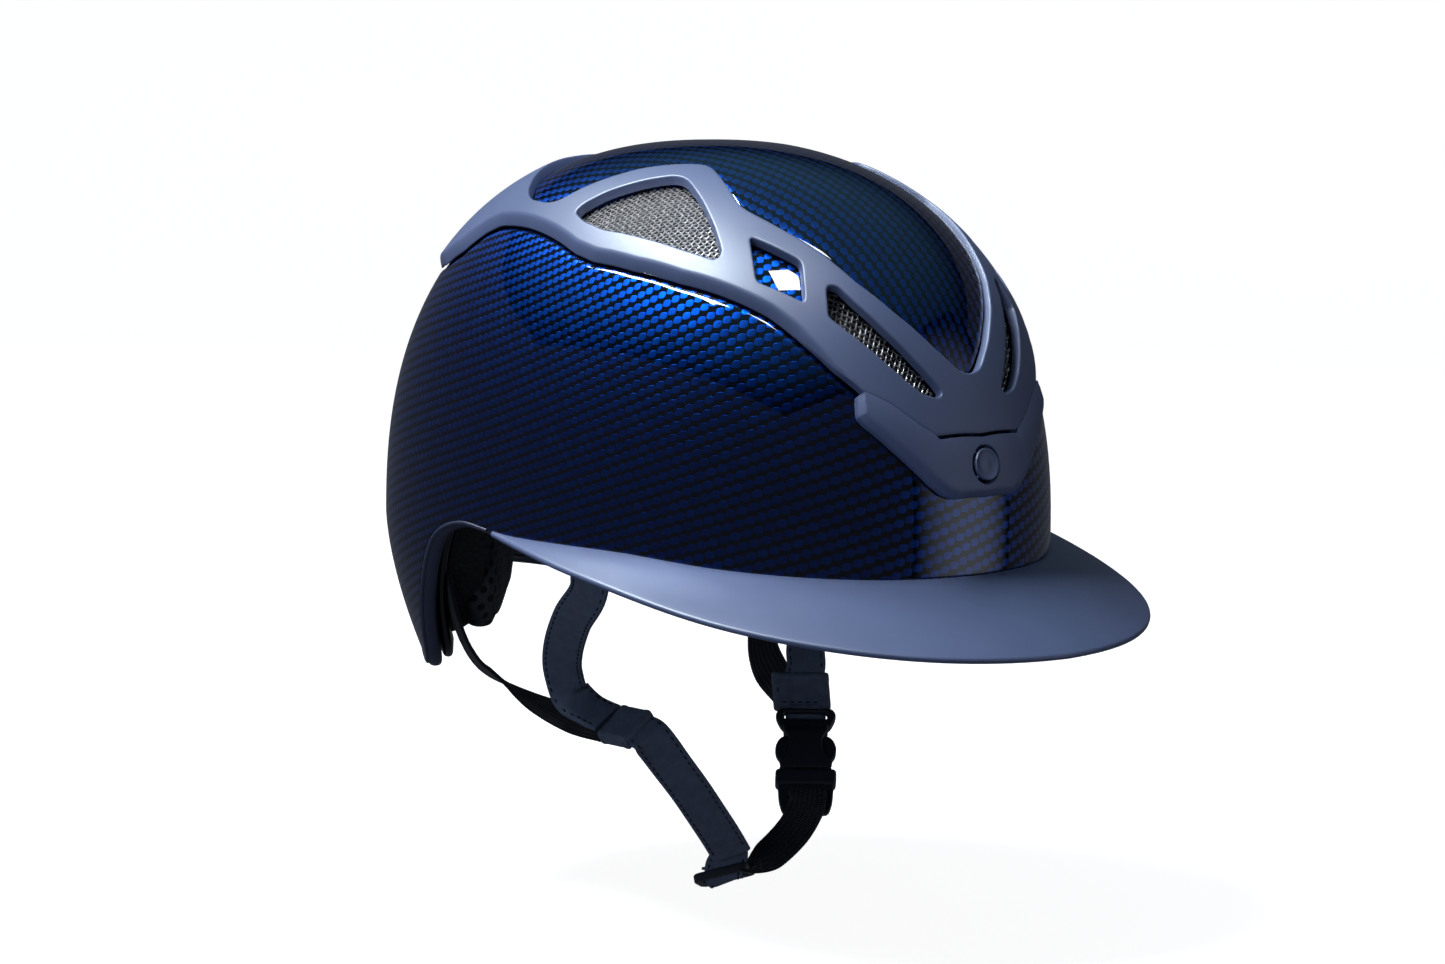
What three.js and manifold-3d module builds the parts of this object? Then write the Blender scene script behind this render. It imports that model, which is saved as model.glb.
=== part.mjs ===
// Equestrian riding helmet with a wide brim, a raised vented frame and a four-point chin harness.
// Millimetres, +Z up. The origin is the centre of the dome, at the level where the shell is widest.
// The front of the helmet faces -Y, the wearer's left is +X and the wearer's right is -X.
// The shell is a dome described by its radius along each ray from the origin. Outlines on the dome
// are given as (u, v) in degrees: u towards the wearer's left and v towards the front, both counted
// along the surface from the straight-up direction.
import * as THREE from 'three';
import { mergeVertices } from 'three/addons/utils/BufferGeometryUtils.js';
import Module from 'manifold-3d';

const wasm = await Module();
wasm.setup();

// Driving dimensions
const GAP = 0.4;
const SHELL = {
  halfWidth: 113, front: 148.6, rear: 139.2, crown: 146.3,
  planPower: 2.15, frontPower: 2.33, rearPower: 2.36,
  lowFront: 900, lowRear: 147, lowPower: 1.6,
};
const LINER_INSIDE = {
  halfWidth: 85, front: 110, rear: 106, crown: 117,
  planPower: 2.1, frontPower: 2.2, rearPower: 2.2,
  lowFront: 2000, lowRear: 2000, lowPower: 2,
};
const HEAD = {
  halfWidth: 78, front: 102, rear: 98, crown: 109,
  planPower: 2.1, frontPower: 2.2, rearPower: 2.2,
  lowFront: 2000, lowRear: 2000, lowPower: 2,
};
const SHELL_THICKNESS = 3;
const FRAME_PROUD = 4.2;
const SHIELD_PROUD = 5;
const CROWN_BULGE = 3.2;
const MESH_DEPTH = 2.2;
const MESH_THICKNESS = 1;
const BRIM = { reach: 45, reachPower: 1.215, drop: 40, dropPower: 1.366, lift: 0.37, thickness: 2.4 };
const LEATHER = { width: 16, thickness: 2.2 };
const WEBBING = { width: 15, thickness: 1.6 };
const STRAP_RADIUS = { front: 106.5, rear: 104.3 };
const STRAP_AZIMUTH = { front: 66.6, rear: 119.3 };
const BADGE = { height: 33, radius: 6, thickness: 1.6 };

// Lower edge of the shell: azimuth from the front in degrees, height in millimetres
const EDGE = [
  [0, -8], [20, -7], [40, -4], [57, 0], [70, 1], [85, 2], [92, 4], [97.5, 5], [103, 3], [108, -2],
  [111.5, -10], [115, -21], [118, -31], [122, -44], [126, -54], [131, -58], [138, -56],
  [150, -48], [165, -34], [180, -28],
];

// Outlines on the dome, wearer's left half, as (u, v) in degrees
const CROWN_OPENING = [
  [0, -23], [8, -22], [16, -19.5], [22, -16.3], [27, -12.8], [29.6, -9.5], [30.8, -4.5], [30.2, -1.9],
  [27.1, 0.7], [20.8, 7.8], [17.8, 12.4], [16, 15.7], [15.9, 17.6], [18.7, 24.7], [20.2, 28.4],
  [19.9, 31.2], [18.5, 36.5], [16.5, 42.3], [14.5, 48.7], [11, 54.8], [6.5, 60.7], [2.6, 64.6], [0, 65.2],
];
const FRAME_OUTSIDE = [
  [0, -48], [10, -47], [20, -44.5], [28, -40], [33, -33], [34, -26.2], [32.6, -20], [32.4, -16],
  [34.4, -6.9], [36.3, 0.6], [38.5, 8.4], [38.9, 13.4], [37.6, 22], [35.2, 30.9], [32, 38.6],
  [28.9, 45.9], [27, 52], [24.8, 58],
];
const SIDE_WINDOW = [
  [32.4, 3.7], [33.8, 7.3], [34.3, 12.4], [33, 20.6], [31.6, 27.3], [29.6, 33.6], [28.2, 33.4],
  [25.8, 29], [23.2, 23.5], [20.6, 17.2], [20.7, 14.8], [23.7, 10.9], [27.5, 6.7], [31, 3.9],
];
const DIAMOND_WINDOW = [[23.3, 34.1], [27.5, 40.7], [23.6, 47.8], [20, 42.2]];
const FRONT_WINDOW = [
  [19.1, 47.3], [21.6, 51.4], [19.3, 55.9], [16.4, 60.6], [13.9, 64.1], [11.4, 66.6], [8.5, 67.7],
  [7.3, 67.2], [11.1, 61.7], [14.1, 56.7], [16.5, 51.6], [17.7, 48],
];
const REAR_WINDOW = [[0, -29], [9, -28.4], [11.5, -30.5], [9.5, -37.5], [7, -39.4], [0, -40]];

// The front plate as seen from ahead: x and z in millimetres, wearer's left half
const SHIELD_TOP = [[46, 60.5], [38, 56], [33, 52], [28, 48], [22, 44.4], [0, 44.4]];
const SHIELD_BOTTOM = [[0, 21], [15, 21], [20, 23.5], [25, 29], [33, 39], [38.5, 43.5], [48, 49.5], [49.6, 52], [48.6, 59.5]];

const rad = THREE.MathUtils.degToRad;
const deg = THREE.MathUtils.radToDeg;
const parts = new THREE.Group();

const SURFACES = {
  carbon: { color: 0x0a1440, roughness: 0.12, metalness: 0.3 },
  navy: { color: 0x3a4566, roughness: 0.5, metalness: 0.1 },
  rubber: { color: 0x232b40, roughness: 0.7, metalness: 0 },
  wire: { color: 0xa8a29c, roughness: 0.4, metalness: 0.9 },
  foam: { color: 0x1b1b1d, roughness: 0.9, metalness: 0 },
  gloss: { color: 0x08080a, roughness: 0.1, metalness: 0 },
  fabric: { color: 0x15161a, roughness: 0.95, metalness: 0 },
  leather: { color: 0x2c3446, roughness: 0.6, metalness: 0 },
  webbing: { color: 0x191b22, roughness: 0.9, metalness: 0 },
  plastic: { color: 0x1c1e26, roughness: 0.45, metalness: 0 },
};
const materials = Object.fromEntries(
  Object.entries(SURFACES).map(([name, look]) => [name, new THREE.MeshStandardMaterial(look)]),
);

function addPart(name, geometry, material, matrix) {
  const mesh = new THREE.Mesh(geometry, materials[material]);
  mesh.name = name;
  if (matrix) {
    mesh.applyMatrix4(matrix);
  }
  parts.add(mesh);
}

// Solids

function solidOf(geometry) {
  const bare = geometry.clone();
  for (const name of Object.keys(bare.attributes)) {
    if (name !== 'position') {
      bare.deleteAttribute(name);
    }
  }
  const merged = mergeVertices(bare, 1e-4);
  const vertProperties = new Float32Array(merged.attributes.position.array);
  const triVerts = new Uint32Array(merged.index.array);
  return new wasm.Manifold(new wasm.Mesh({ numProp: 3, vertProperties, triVerts }));
}

function geometryOf(solid) {
  const mesh = solid.getMesh();
  const geometry = new THREE.BufferGeometry();
  geometry.setAttribute('position', new THREE.BufferAttribute(new Float32Array(mesh.vertProperties), 3));
  geometry.setIndex(new THREE.BufferAttribute(new Uint32Array(mesh.triVerts), 1));
  geometry.computeVertexNormals();
  return geometry;
}

function closedGeometry(points, triangles) {
  const geometry = new THREE.BufferGeometry().setFromPoints(points);
  geometry.setIndex(triangles);
  geometry.computeVertexNormals();
  return geometry;
}

// A closed body through rings of points. Each ring runs clockwise seen from the end of the row.
function loft(rings) {
  const size = rings[0].length;
  const points = rings.flat();
  const triangles = [];
  const at = (ring, i) => ring * size + (i % size);
  for (let ring = 0; ring + 1 < rings.length; ring += 1) {
    for (let i = 0; i < size; i += 1) {
      triangles.push(at(ring, i), at(ring, i + 1), at(ring + 1, i + 1));
      triangles.push(at(ring, i), at(ring + 1, i + 1), at(ring + 1, i));
    }
  }
  for (let i = 1; i + 1 < size; i += 1) {
    triangles.push(at(0, 0), at(0, i + 1), at(0, i));
    triangles.push(at(rings.length - 1, 0), at(rings.length - 1, i), at(rings.length - 1, i + 1));
  }
  const geometry = closedGeometry(points, triangles);
  return solidOf(geometry).volume() < 0 ? closedGeometry(points, triangles.reverse()) : geometry;
}

// The dome

function direction(fromTop, azimuth) {
  const s = Math.sin(rad(fromTop));
  return new THREE.Vector3(s * Math.sin(rad(azimuth)), -s * Math.cos(rad(azimuth)), Math.cos(rad(fromTop)));
}

function domeRadius(shape, dir) {
  const rearness = 0.5 + 0.5 * dir.y / Math.max(1e-9, Math.hypot(dir.x, dir.y));
  const length = dir.y < 0 ? shape.front : shape.rear;
  const low = 1 / ((1 - rearness) / shape.lowFront + rearness / shape.lowRear);
  const power = dir.z > 0 ? shape.frontPower * (1 - rearness) + shape.rearPower * rearness : shape.lowPower;
  const height = dir.z > 0 ? shape.crown : low;
  const p = shape.planPower;
  const plan = (Math.abs(dir.x / shape.halfWidth) ** p + Math.abs(dir.y / length) ** p) ** (1 / p);
  return (plan ** power + Math.abs(dir.z / height) ** power) ** (-1 / power);
}

function onDome(shape, fromTop, azimuth, offset = 0) {
  const dir = direction(fromTop, azimuth);
  return dir.multiplyScalar(domeRadius(shape, dir) + offset);
}

// Angle from the top at which the dome reaches a height, on one azimuth
function angleAtHeight(shape, azimuth, height) {
  let low = 30;
  let high = 140;
  for (let step = 0; step < 40; step += 1) {
    const middle = (low + high) / 2;
    if (onDome(shape, middle, azimuth).z > height) {
      low = middle;
    } else {
      high = middle;
    }
  }
  return low;
}

// Distance of the dome from the Z axis at a height, on one azimuth
function plainRadius(shape, azimuth, height) {
  const point = onDome(shape, angleAtHeight(shape, azimuth, height), azimuth);
  return Math.hypot(point.x, point.y);
}

const edgeCurve = new THREE.CatmullRomCurve3(EDGE.map(([a, z]) => new THREE.Vector3(a, z, 0)), false, 'centripetal');
const HALF_EDGE = edgeCurve.getSpacedPoints(25).map((p) => [p.x, p.y]);
const FULL_EDGE = [
  ...HALF_EDGE,
  ...HALF_EDGE.slice(1, -1).reverse().map(([a, z]) => [360 - a, z]),
].map(([azimuth, z]) => ({ azimuth, fromTop: angleAtHeight(SHELL, azimuth, z) }));

function edgeHeight(azimuth) {
  const near = HALF_EDGE.findIndex(([a]) => a >= azimuth);
  const [a1, z1] = HALF_EDGE[Math.max(1, near)];
  const [a0, z0] = HALF_EDGE[Math.max(1, near) - 1];
  return z0 + (z1 - z0) * (azimuth - a0) / (a1 - a0);
}

// A shell between two radius functions of (direction, angle from top, azimuth), down to the given columns' ends
function domeLayer(columns, rings, inside, outside) {
  const points = [];
  const triangles = [];
  const count = columns.length;
  const surfaces = [outside, inside].map((radius) => {
    const start = points.length;
    const top = direction(0, 0);
    points.push(top.multiplyScalar(radius(direction(0, 0), 0, 0)));
    for (let ring = 1; ring <= rings; ring += 1) {
      for (const { azimuth, fromTop } of columns) {
        const angle = fromTop * ring / rings;
        const dir = direction(angle, azimuth);
        points.push(dir.clone().multiplyScalar(radius(dir, angle, azimuth)));
      }
    }
    return (ring, i) => (ring === 0 ? start : start + 1 + (ring - 1) * count + (i % count));
  });
  for (let i = 0; i < count; i += 1) {
    surfaces.forEach((at, which) => {
      for (let ring = 0; ring < rings; ring += 1) {
        const quad = [at(ring, i), at(ring + 1, i), at(ring + 1, i + 1), at(ring, i + 1)];
        const faces = ring === 0 ? [[quad[0], quad[1], quad[2]]] : [[quad[0], quad[1], quad[2]], [quad[0], quad[2], quad[3]]];
        faces.forEach((face) => triangles.push(...(which === 0 ? face : face.reverse())));
      }
    });
    const [out, inn] = surfaces;
    triangles.push(out(rings, i), inn(rings, i), inn(rings, i + 1));
    triangles.push(out(rings, i), inn(rings, i + 1), out(rings, i + 1));
  }
  return solidOf(closedGeometry(points, triangles));
}

const SHELL_RINGS = 10;
// Every layer of the shell uses the same columns and rings, so that their facets run parallel
const shellLayer = (inside, outside) => domeLayer(FULL_EDGE, SHELL_RINGS, inside, outside);
const evenColumns = (count, fromTop) => Array.from({ length: count }, (_, i) => ({ azimuth: i * 360 / count, fromTop }));
const shellOffset = (offset) => (dir) => domeRadius(SHELL, dir) + offset;

// Outlines on the dome

const mirrored = (outline) => outline.map(([u, v]) => [-u, v]);
const bothSides = (half) => [...half, ...mirrored(half.filter(([u]) => Math.abs(u) > 1e-6)).reverse()];

// Moves an outline's points outwards (or inwards when the distance is negative), in the outline's own units
function grow(outline, distance) {
  const turn = Math.sign(THREE.ShapeUtils.area(outline.map(([u, v]) => new THREE.Vector2(u, v))));
  return outline.map(([u, v], i) => {
    const [bu, bv] = outline[(i + outline.length - 1) % outline.length];
    const [au, av] = outline[(i + 1) % outline.length];
    const before = new THREE.Vector2(u - bu, v - bv).normalize();
    const after = new THREE.Vector2(au - u, av - v).normalize();
    const sum = before.clone().add(after).normalize();
    const reach = distance / Math.max(0.5, sum.dot(before));
    return [u + turn * sum.y * reach, v - turn * sum.x * reach];
  });
}

// A wedge that widens from the origin through an outline
function wedge(outline, near = 40, far = 420) {
  let contour = outline.map(([u, v]) => new THREE.Vector2(u, v));
  if (THREE.ShapeUtils.area(contour) > 0) {
    contour = contour.reverse();
  }
  const points = [near, far].flatMap((radius) => contour.map(({ x, y }) => (
    direction(Math.hypot(x, y), deg(Math.atan2(x, y))).multiplyScalar(radius)
  )));
  const count = contour.length;
  const triangles = [];
  for (const face of THREE.ShapeUtils.triangulateShape(contour, [])) {
    const sameWay = THREE.ShapeUtils.area(face.map((corner) => contour[corner])) < 0;
    const [a, b, c] = sameWay ? face : face.reverse();
    triangles.push(a, c, b, a + count, b + count, c + count);
  }
  for (let i = 0; i < count; i += 1) {
    const j = (i + 1) % count;
    triangles.push(i, j, j + count, i, j + count, i + count);
  }
  const solid = solidOf(closedGeometry(points, triangles));
  return solid.volume() > 0 ? solid : solidOf(closedGeometry(points, triangles.reverse()));
}

// (u, v) of the dome's front at a place seen from ahead
function fromAhead([x, z], offset = 4) {
  let fromTop = 60;
  let azimuth = 0;
  for (let step = 0; step < 30; step += 1) {
    const point = onDome(SHELL, fromTop, azimuth, offset);
    const y = Math.min(-1, point.y);
    fromTop = deg(Math.acos(z / Math.hypot(x, y, z)));
    azimuth = deg(Math.atan2(x, -y));
  }
  return [fromTop * Math.sin(rad(azimuth)), fromTop * Math.cos(rad(azimuth))];
}

const union = (solids) => solids.reduce((all, next) => all.add(next));
const sides = [['left', (outline) => outline], ['right', mirrored]];

// Shell, crown panel, frame and front plate

const crownOpening = bothSides(CROWN_OPENING);
const seam = grow(crownOpening, 1.5);
const meshWindows = [
  ...sides.map(([side, flip]) => [`side_vent_mesh_${side}`, flip(SIDE_WINDOW)]),
  ...sides.map(([side, flip]) => [`front_vent_mesh_${side}`, flip(FRONT_WINDOW)]),
  ['rear_vent_mesh', bothSides(REAR_WINDOW)],
];
const diamondWindows = sides.map(([, flip]) => flip(DIAMOND_WINDOW));
const shieldTop = SHIELD_TOP.map((place) => fromAhead(place));
const frameOutline = bothSides([...FRAME_OUTSIDE, ...shieldTop]);
const shieldOutline = bothSides([
  ...SHIELD_BOTTOM.map((place) => fromAhead(place)),
  ...SHIELD_TOP.map(([x, z]) => fromAhead([x, z - (x < 21 ? 1.6 : 0.6)])),
]);

function crownRadius(dir, fromTop, azimuth) {
  const u = Math.abs(fromTop * Math.sin(rad(azimuth)));
  const v = fromTop * Math.cos(rad(azimuth));
  const across = 1 - (u / 30) ** 2;
  const along = 1 - ((v - 20) / 46) ** 2;
  return domeRadius(SHELL, dir) + CROWN_BULGE * Math.max(0, Math.min(across, along));
}

function makeShell() {
  const holes = meshWindows.map(([, outline]) => wedge(grow(outline, 0.7)));
  return shellLayer(shellOffset(-SHELL_THICKNESS), shellOffset(0))
    .subtract(wedge(grow(seam, 0.15)))
    .subtract(union(holes));
}

function makeCrownPanel() {
  const opening = wedge(grow(crownOpening, -0.12));
  const cap = shellLayer(shellOffset(-SHELL_THICKNESS), crownRadius);
  const flush = shellLayer(shellOffset(0), shellOffset(20));
  return cap.intersect(wedge(seam)).subtract(flush.subtract(opening));
}

function makeFrame() {
  const layer = shellLayer(shellOffset(GAP), shellOffset(FRAME_PROUD));
  const windows = [crownOpening, ...meshWindows.map(([, outline]) => outline), ...diamondWindows];
  return layer.intersect(wedge(frameOutline)).subtract(union(windows.map((outline) => wedge(outline))));
}

function badgeMatrix(offset) {
  const [u, v] = fromAhead([0, BADGE.height]);
  const dir = direction(v, u);
  const place = dir.clone().multiplyScalar(domeRadius(SHELL, dir) + offset);
  const turn = new THREE.Quaternion().setFromUnitVectors(new THREE.Vector3(0, 1, 0), dir);
  return new THREE.Matrix4().compose(place, turn, new THREE.Vector3(1, 1, 1));
}

function makeShield() {
  const recess = new THREE.CylinderGeometry(BADGE.radius + GAP, BADGE.radius + GAP, 8, 24);
  recess.applyMatrix4(badgeMatrix(SHIELD_PROUD - 1.6 + 4));
  return shellLayer(shellOffset(GAP), shellOffset(SHIELD_PROUD))
    .intersect(wedge(shieldOutline))
    .subtract(solidOf(recess));
}

function makeMesh(outline) {
  const thin = shellLayer(shellOffset(-MESH_DEPTH), shellOffset(MESH_THICKNESS - MESH_DEPTH));
  return thin.intersect(wedge(grow(outline, 0.45)));
}

addPart('outer_shell', geometryOf(makeShell()), 'carbon');
addPart('crown_panel', geometryOf(makeCrownPanel()), 'carbon');
addPart('vent_frame', geometryOf(makeFrame()), 'navy');
addPart('front_plate', geometryOf(makeShield()), 'navy');
for (const [name, outline] of meshWindows) {
  addPart(name, geometryOf(makeMesh(outline)), 'wire');
}
addPart(
  'front_badge',
  new THREE.CylinderGeometry(BADGE.radius, BADGE.radius, BADGE.thickness, 24),
  'navy',
  badgeMatrix(SHIELD_PROUD - 0.3),
);

// Brim, edge trim and inner cover

function brimSection(azimuth) {
  const along = Math.cos(rad(azimuth * 90 / 88));
  const reach = BRIM.reach * Math.max(0, along) ** BRIM.reachPower;
  const drop = BRIM.drop * Math.max(0, along) ** BRIM.dropPower - BRIM.lift * reach;
  const height = edgeHeight(Math.abs(azimuth)) - GAP;
  const root = onDome(SHELL, angleAtHeight(SHELL, azimuth, height), azimuth);
  const out = new THREE.Vector3(root.x, root.y, 0).normalize();
  const at = (side, down) => root.clone().addScaledVector(out, side).add(new THREE.Vector3(0, 0, -down));
  const crownOfBrim = 0.03 * reach;
  return [
    at(-5, 0), at(0.6, 0), at(0.5 * reach + 0.8, 0.5 * drop - crownOfBrim), at(reach + 1, drop),
    at(reach + 0.6, drop + BRIM.thickness), at(0.5 * reach, 0.5 * drop - crownOfBrim + BRIM.thickness),
    at(-1, BRIM.thickness), at(-5, BRIM.thickness),
  ];
}

function makeBrim() {
  const rings = [];
  for (let azimuth = -88; azimuth <= 88; azimuth += 5.5) {
    rings.push(brimSection(azimuth));
  }
  return loft(rings);
}

// A strip along the shell's lower edge round the back. The section is (outwards, downwards) from the edge.
function edgeStrip(section, fromAzimuth) {
  const path = FULL_EDGE.filter(({ azimuth }) => azimuth >= fromAzimuth && azimuth <= 360 - fromAzimuth);
  const points = path.map(({ azimuth, fromTop }) => onDome(SHELL, fromTop, azimuth));
  return loft(points.map((point, i) => {
    const before = points[Math.max(0, i - 1)];
    const after = points[Math.min(points.length - 1, i + 1)];
    const along = after.clone().sub(before).normalize();
    const out = direction(90, path[i].azimuth);
    out.addScaledVector(along, -out.dot(along)).normalize();
    const down = along.clone().cross(out).normalize();
    return section.map(([o, d]) => point.clone().addScaledVector(out, o).addScaledVector(down, d));
  }));
}

addPart('brim', makeBrim(), 'navy');
addPart('edge_trim', edgeStrip([[-0.4, GAP], [-0.6, 2.4], [-3.5, 3.4], [-6.2, 2.6], [-6.4, GAP]], 90), 'rubber');
addPart('rear_inner_cover', edgeStrip([[-6.9, -6], [-6.9, -1], [-10.2, -0.6], [-10.4, -6]], 98), 'gloss');

// Comfort pads: blocks between the liner and the head, by azimuth and height

function padBlock(from, to, steps, low, high, insideRadius, outsideRadius) {
  const rings = [];
  for (let step = 0; step <= steps; step += 1) {
    const azimuth = from + (to - from) * step / steps;
    const bottom = low(azimuth);
    const heights = [0, 0.5, 1].map((share) => bottom + (high - bottom) * share);
    const at = (radius, z) => direction(90, azimuth).multiplyScalar(radius).setZ(z);
    rings.push([
      ...heights.map((z) => at(outsideRadius(azimuth, z), z)),
      ...heights.map((z) => at(insideRadius(azimuth, z), z)).reverse(),
    ]);
  }
  return loft(rings);
}

const headSide = (azimuth, z) => plainRadius(HEAD, azimuth, z);
const linerSide = (azimuth, z) => plainRadius(LINER_INSIDE, azimuth, z) - 2.8;
const neckPad = (from, to, extra) => padBlock(
  from, to, 7, (azimuth) => edgeHeight(Math.min(azimuth, 360 - azimuth)) + 5 - extra, 8 + extra,
  () => 82 - extra, (azimuth, z) => Math.min(97.6 + extra, plainRadius(SHELL, azimuth, z) - 19 + extra),
);

addPart('brow_pad', padBlock(-62, 62, 12, () => -4, 34, headSide, linerSide), 'fabric');
addPart('side_pad_left', padBlock(70, 108, 5, () => 6, 40, headSide, linerSide), 'fabric');
addPart('side_pad_right', padBlock(252, 290, 5, () => 6, 40, headSide, linerSide), 'fabric');
addPart('neck_pad_left', neckPad(120, 158, 0), 'fabric');
addPart('neck_pad_right', neckPad(202, 240, 0), 'fabric');
addPart('nape_pad', padBlock(162, 198, 4, () => -22, 22, headSide, linerSide), 'fabric');
addPart(
  'crown_pad',
  geometryOf(domeLayer(evenColumns(24, 34), 4, (dir) => domeRadius(HEAD, dir), (dir) => domeRadius(LINER_INSIDE, dir) - 2.2)),
  'fabric',
);

// Foam liner, with air channels under the vents and pockets for the neck pads and strap anchors

function pocket(side, which, sizes, z) {
  const azimuth = side * STRAP_AZIMUTH[which];
  const box = new THREE.BoxGeometry(...sizes);
  box.rotateZ(rad(azimuth));
  const place = direction(90, azimuth).multiplyScalar(STRAP_RADIUS[which] + 3);
  box.translate(place.x, place.y, z);
  return solidOf(box);
}

function makeLiner() {
  const columns = FULL_EDGE.filter((_, i) => i % 2 === 0)
    .map(({ azimuth, fromTop }) => ({ azimuth, fromTop: fromTop - 2.4 }));
  const edgeRebate = solidOf(edgeStrip([[3, -6.7], [3, 6], [-11.2, 6], [-11.2, -6.7]], 94));
  const channels = meshWindows.map(([, outline]) => wedge(grow(outline, -0.3)));
  const pockets = [-1, 1].flatMap((side) => [
    pocket(side, 'front', [22, 17, 46], -5),
    pocket(side, 'rear', [22, 20, 74], -19),
  ]);
  const neckPockets = [[118.5, 159.5], [200.5, 241.5]].map(([from, to]) => solidOf(neckPad(from, to, 0.8)));
  return domeLayer(columns, 9, (dir) => domeRadius(LINER_INSIDE, dir), shellOffset(-SHELL_THICKNESS - 3 * GAP))
    .subtract(union([edgeRebate, ...channels, ...pockets, ...neckPockets]));
}

addPart('foam_liner', geometryOf(makeLiner()), 'foam');

// Straps: rows of x, y, z and the direction that the strap's outer face looks towards

function strapRings(rows, steps, { width, thickness }) {
  const path = new THREE.CatmullRomCurve3(rows.map(([x, y, z]) => new THREE.Vector3(x, y, z)));
  const facing = new THREE.CatmullRomCurve3(rows.map((row) => new THREE.Vector3(...row.slice(3))));
  return Array.from({ length: steps + 1 }, (_, i) => {
    const t = i / steps;
    const point = path.getPoint(t);
    const along = path.getTangent(t);
    const out = facing.getPoint(t);
    out.addScaledVector(along, -out.dot(along)).normalize();
    const across = along.clone().cross(out).normalize();
    return [[1, 1], [1, -1], [-1, -1], [-1, 1]].map(([a, o]) => (
      point.clone().addScaledVector(across, a * width / 2).addScaledVector(out, o * thickness / 2)
    ));
  });
}

const strap = (rows, steps, size) => loft(strapRings(rows, steps, size));

const FRONT_RIGHT = [
  [-97.8, -42.3, 6, -0.92, -0.4, 0], [-97.6, -42, -6, -0.92, -0.4, 0], [-95, -38.5, -18, -0.9, -0.44, 0],
  [-88.4, -21.6, -31.6, -0.85, -0.5, -0.2], [-80.3, -7.1, -45.7, -0.82, -0.55, -0.3],
  [-73, 1.2, -55.9, -0.8, -0.55, -0.3], [-66.4, 3.8, -66, -0.75, -0.3, 0.1],
  [-61.6, -2.5, -71.8, -0.6, 0.1, 0.5], [-60, -10.6, -73.9, -0.55, 0.1, 0.82],
];
const REAR_RIGHT = [
  [-91, 51, 4, -0.87, 0.49, 0], [-91, 51, -10, -0.87, 0.49, 0], [-90.5, 51, -22, -0.87, 0.49, 0],
  [-89, 50.3, -32, -0.87, 0.45, 0], [-86, 50, -41, -0.8, 0.4, -0.2], [-80.5, 50.5, -51, -0.7, 0.3, -0.3],
  [-73, 50, -60, -0.6, 0.2, -0.5], [-66, 42, -67, -0.3, 0.1, -0.8], [-61, 28.3, -73.6, 0.1, 0.1, -0.9],
  [-58, 7.8, -78, 0.45, 0, -0.85], [-57.8, -10.8, -78.4, 0.57, 0, -0.82],
];
const FRONT_LEFT = [
  [97.8, -42.3, 6, 0.92, -0.4, 0], [97.6, -42, -6, 0.92, -0.4, 0], [95, -38.5, -18, 0.9, -0.44, 0],
  [85, -25, -33, 0.85, -0.3, 0.1], [73, -11, -46, 0.75, -0.1, 0.1], [61, 3, -57, 0.62, 0.5, -0.3],
  [56.7, -0.6, -66.4, 0.59, 0.63, -0.5],
];
const REAR_LEFT = [
  [91, 51, 4, 0.87, 0.49, 0], [91, 51, -10, 0.87, 0.49, 0], [90, 51, -25, 0.87, 0.45, 0],
  [86, 50.5, -41, 0.8, 0.4, 0], [78, 47, -54, 0.7, 0.3, 0.2], [69, 38, -64.5, 0.65, 0.4, 0.1],
  [61.5, 25, -72, 0.6, 0.5, -0.2], [55.8, 10.4, -77.3, 0.6, 0.6, -0.4], [52.6, 3.6, -79.1, 0.6, 0.6, -0.5],
];
const CHIN_STRAP = [
  [-57.6, -30.4, -77.6, -0.5, -0.45, 0.6], [-54.8, -32, -81.2, -0.6, -0.65, 0.2], [-46, -33.1, -91.8, -0.55, -0.75, -0.3],
  [-37.3, -33.2, -101.5, -0.52, -0.74, -0.44], [-27, -31.5, -112.5, -0.5, -0.72, -0.47],
  [-17.8, -29.7, -122.3, -0.45, -0.7, -0.55], [-9.2, -27.4, -131.6, -0.4, -0.66, -0.64],
];

addPart('front_strap_right', strap(FRONT_RIGHT, 18, LEATHER), 'leather');
addPart('front_strap_left', strap(FRONT_LEFT, 14, LEATHER), 'leather');
addPart('rear_strap_right', strap(REAR_RIGHT, 20, WEBBING), 'webbing');
addPart('rear_strap_left', strap(REAR_LEFT, 18, WEBBING), 'webbing');
addPart('chin_strap', strap(CHIN_STRAP, 14, LEATHER), 'leather');

// Anchor blocks that hold the top ends of the straps against the shell
function anchor(side, which) {
  const shape = new THREE.Shape([[-10, -3.5], [10, -3.5], [10, 3.5], [-10, 3.5]].map(([x, y]) => new THREE.Vector2(x, y)));
  const slot = [[-8.4, -1.7], [-8.4, 1.7], [8.4, 1.7], [8.4, -1.7]].map(([x, y]) => new THREE.Vector2(x, y));
  shape.holes.push(new THREE.Path(slot));
  const block = new THREE.ExtrudeGeometry(shape, { depth: 7, bevelEnabled: false });
  const azimuth = side * STRAP_AZIMUTH[which];
  const place = direction(90, azimuth).multiplyScalar(STRAP_RADIUS[which]).setZ(which === 'front' ? 6.5 : 4.5);
  return [block, new THREE.Matrix4().makeRotationZ(rad(azimuth)).setPosition(place)];
}

for (const [side, name] of [[1, 'left'], [-1, 'right']]) {
  for (const which of ['front', 'rear']) {
    const [block, matrix] = anchor(side, which);
    addPart(`${which}_anchor_${name}`, block, 'plastic', matrix);
  }
}

// A local frame from three directions: across the strap, along it and out of its face
function frameAt(place, across, along) {
  const x = new THREE.Vector3(...across).normalize();
  const y = new THREE.Vector3(...along);
  y.addScaledVector(x, -y.dot(x)).normalize();
  const z = x.clone().cross(y);
  return new THREE.Matrix4().makeBasis(x, y, z).setPosition(...place);
}

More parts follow.
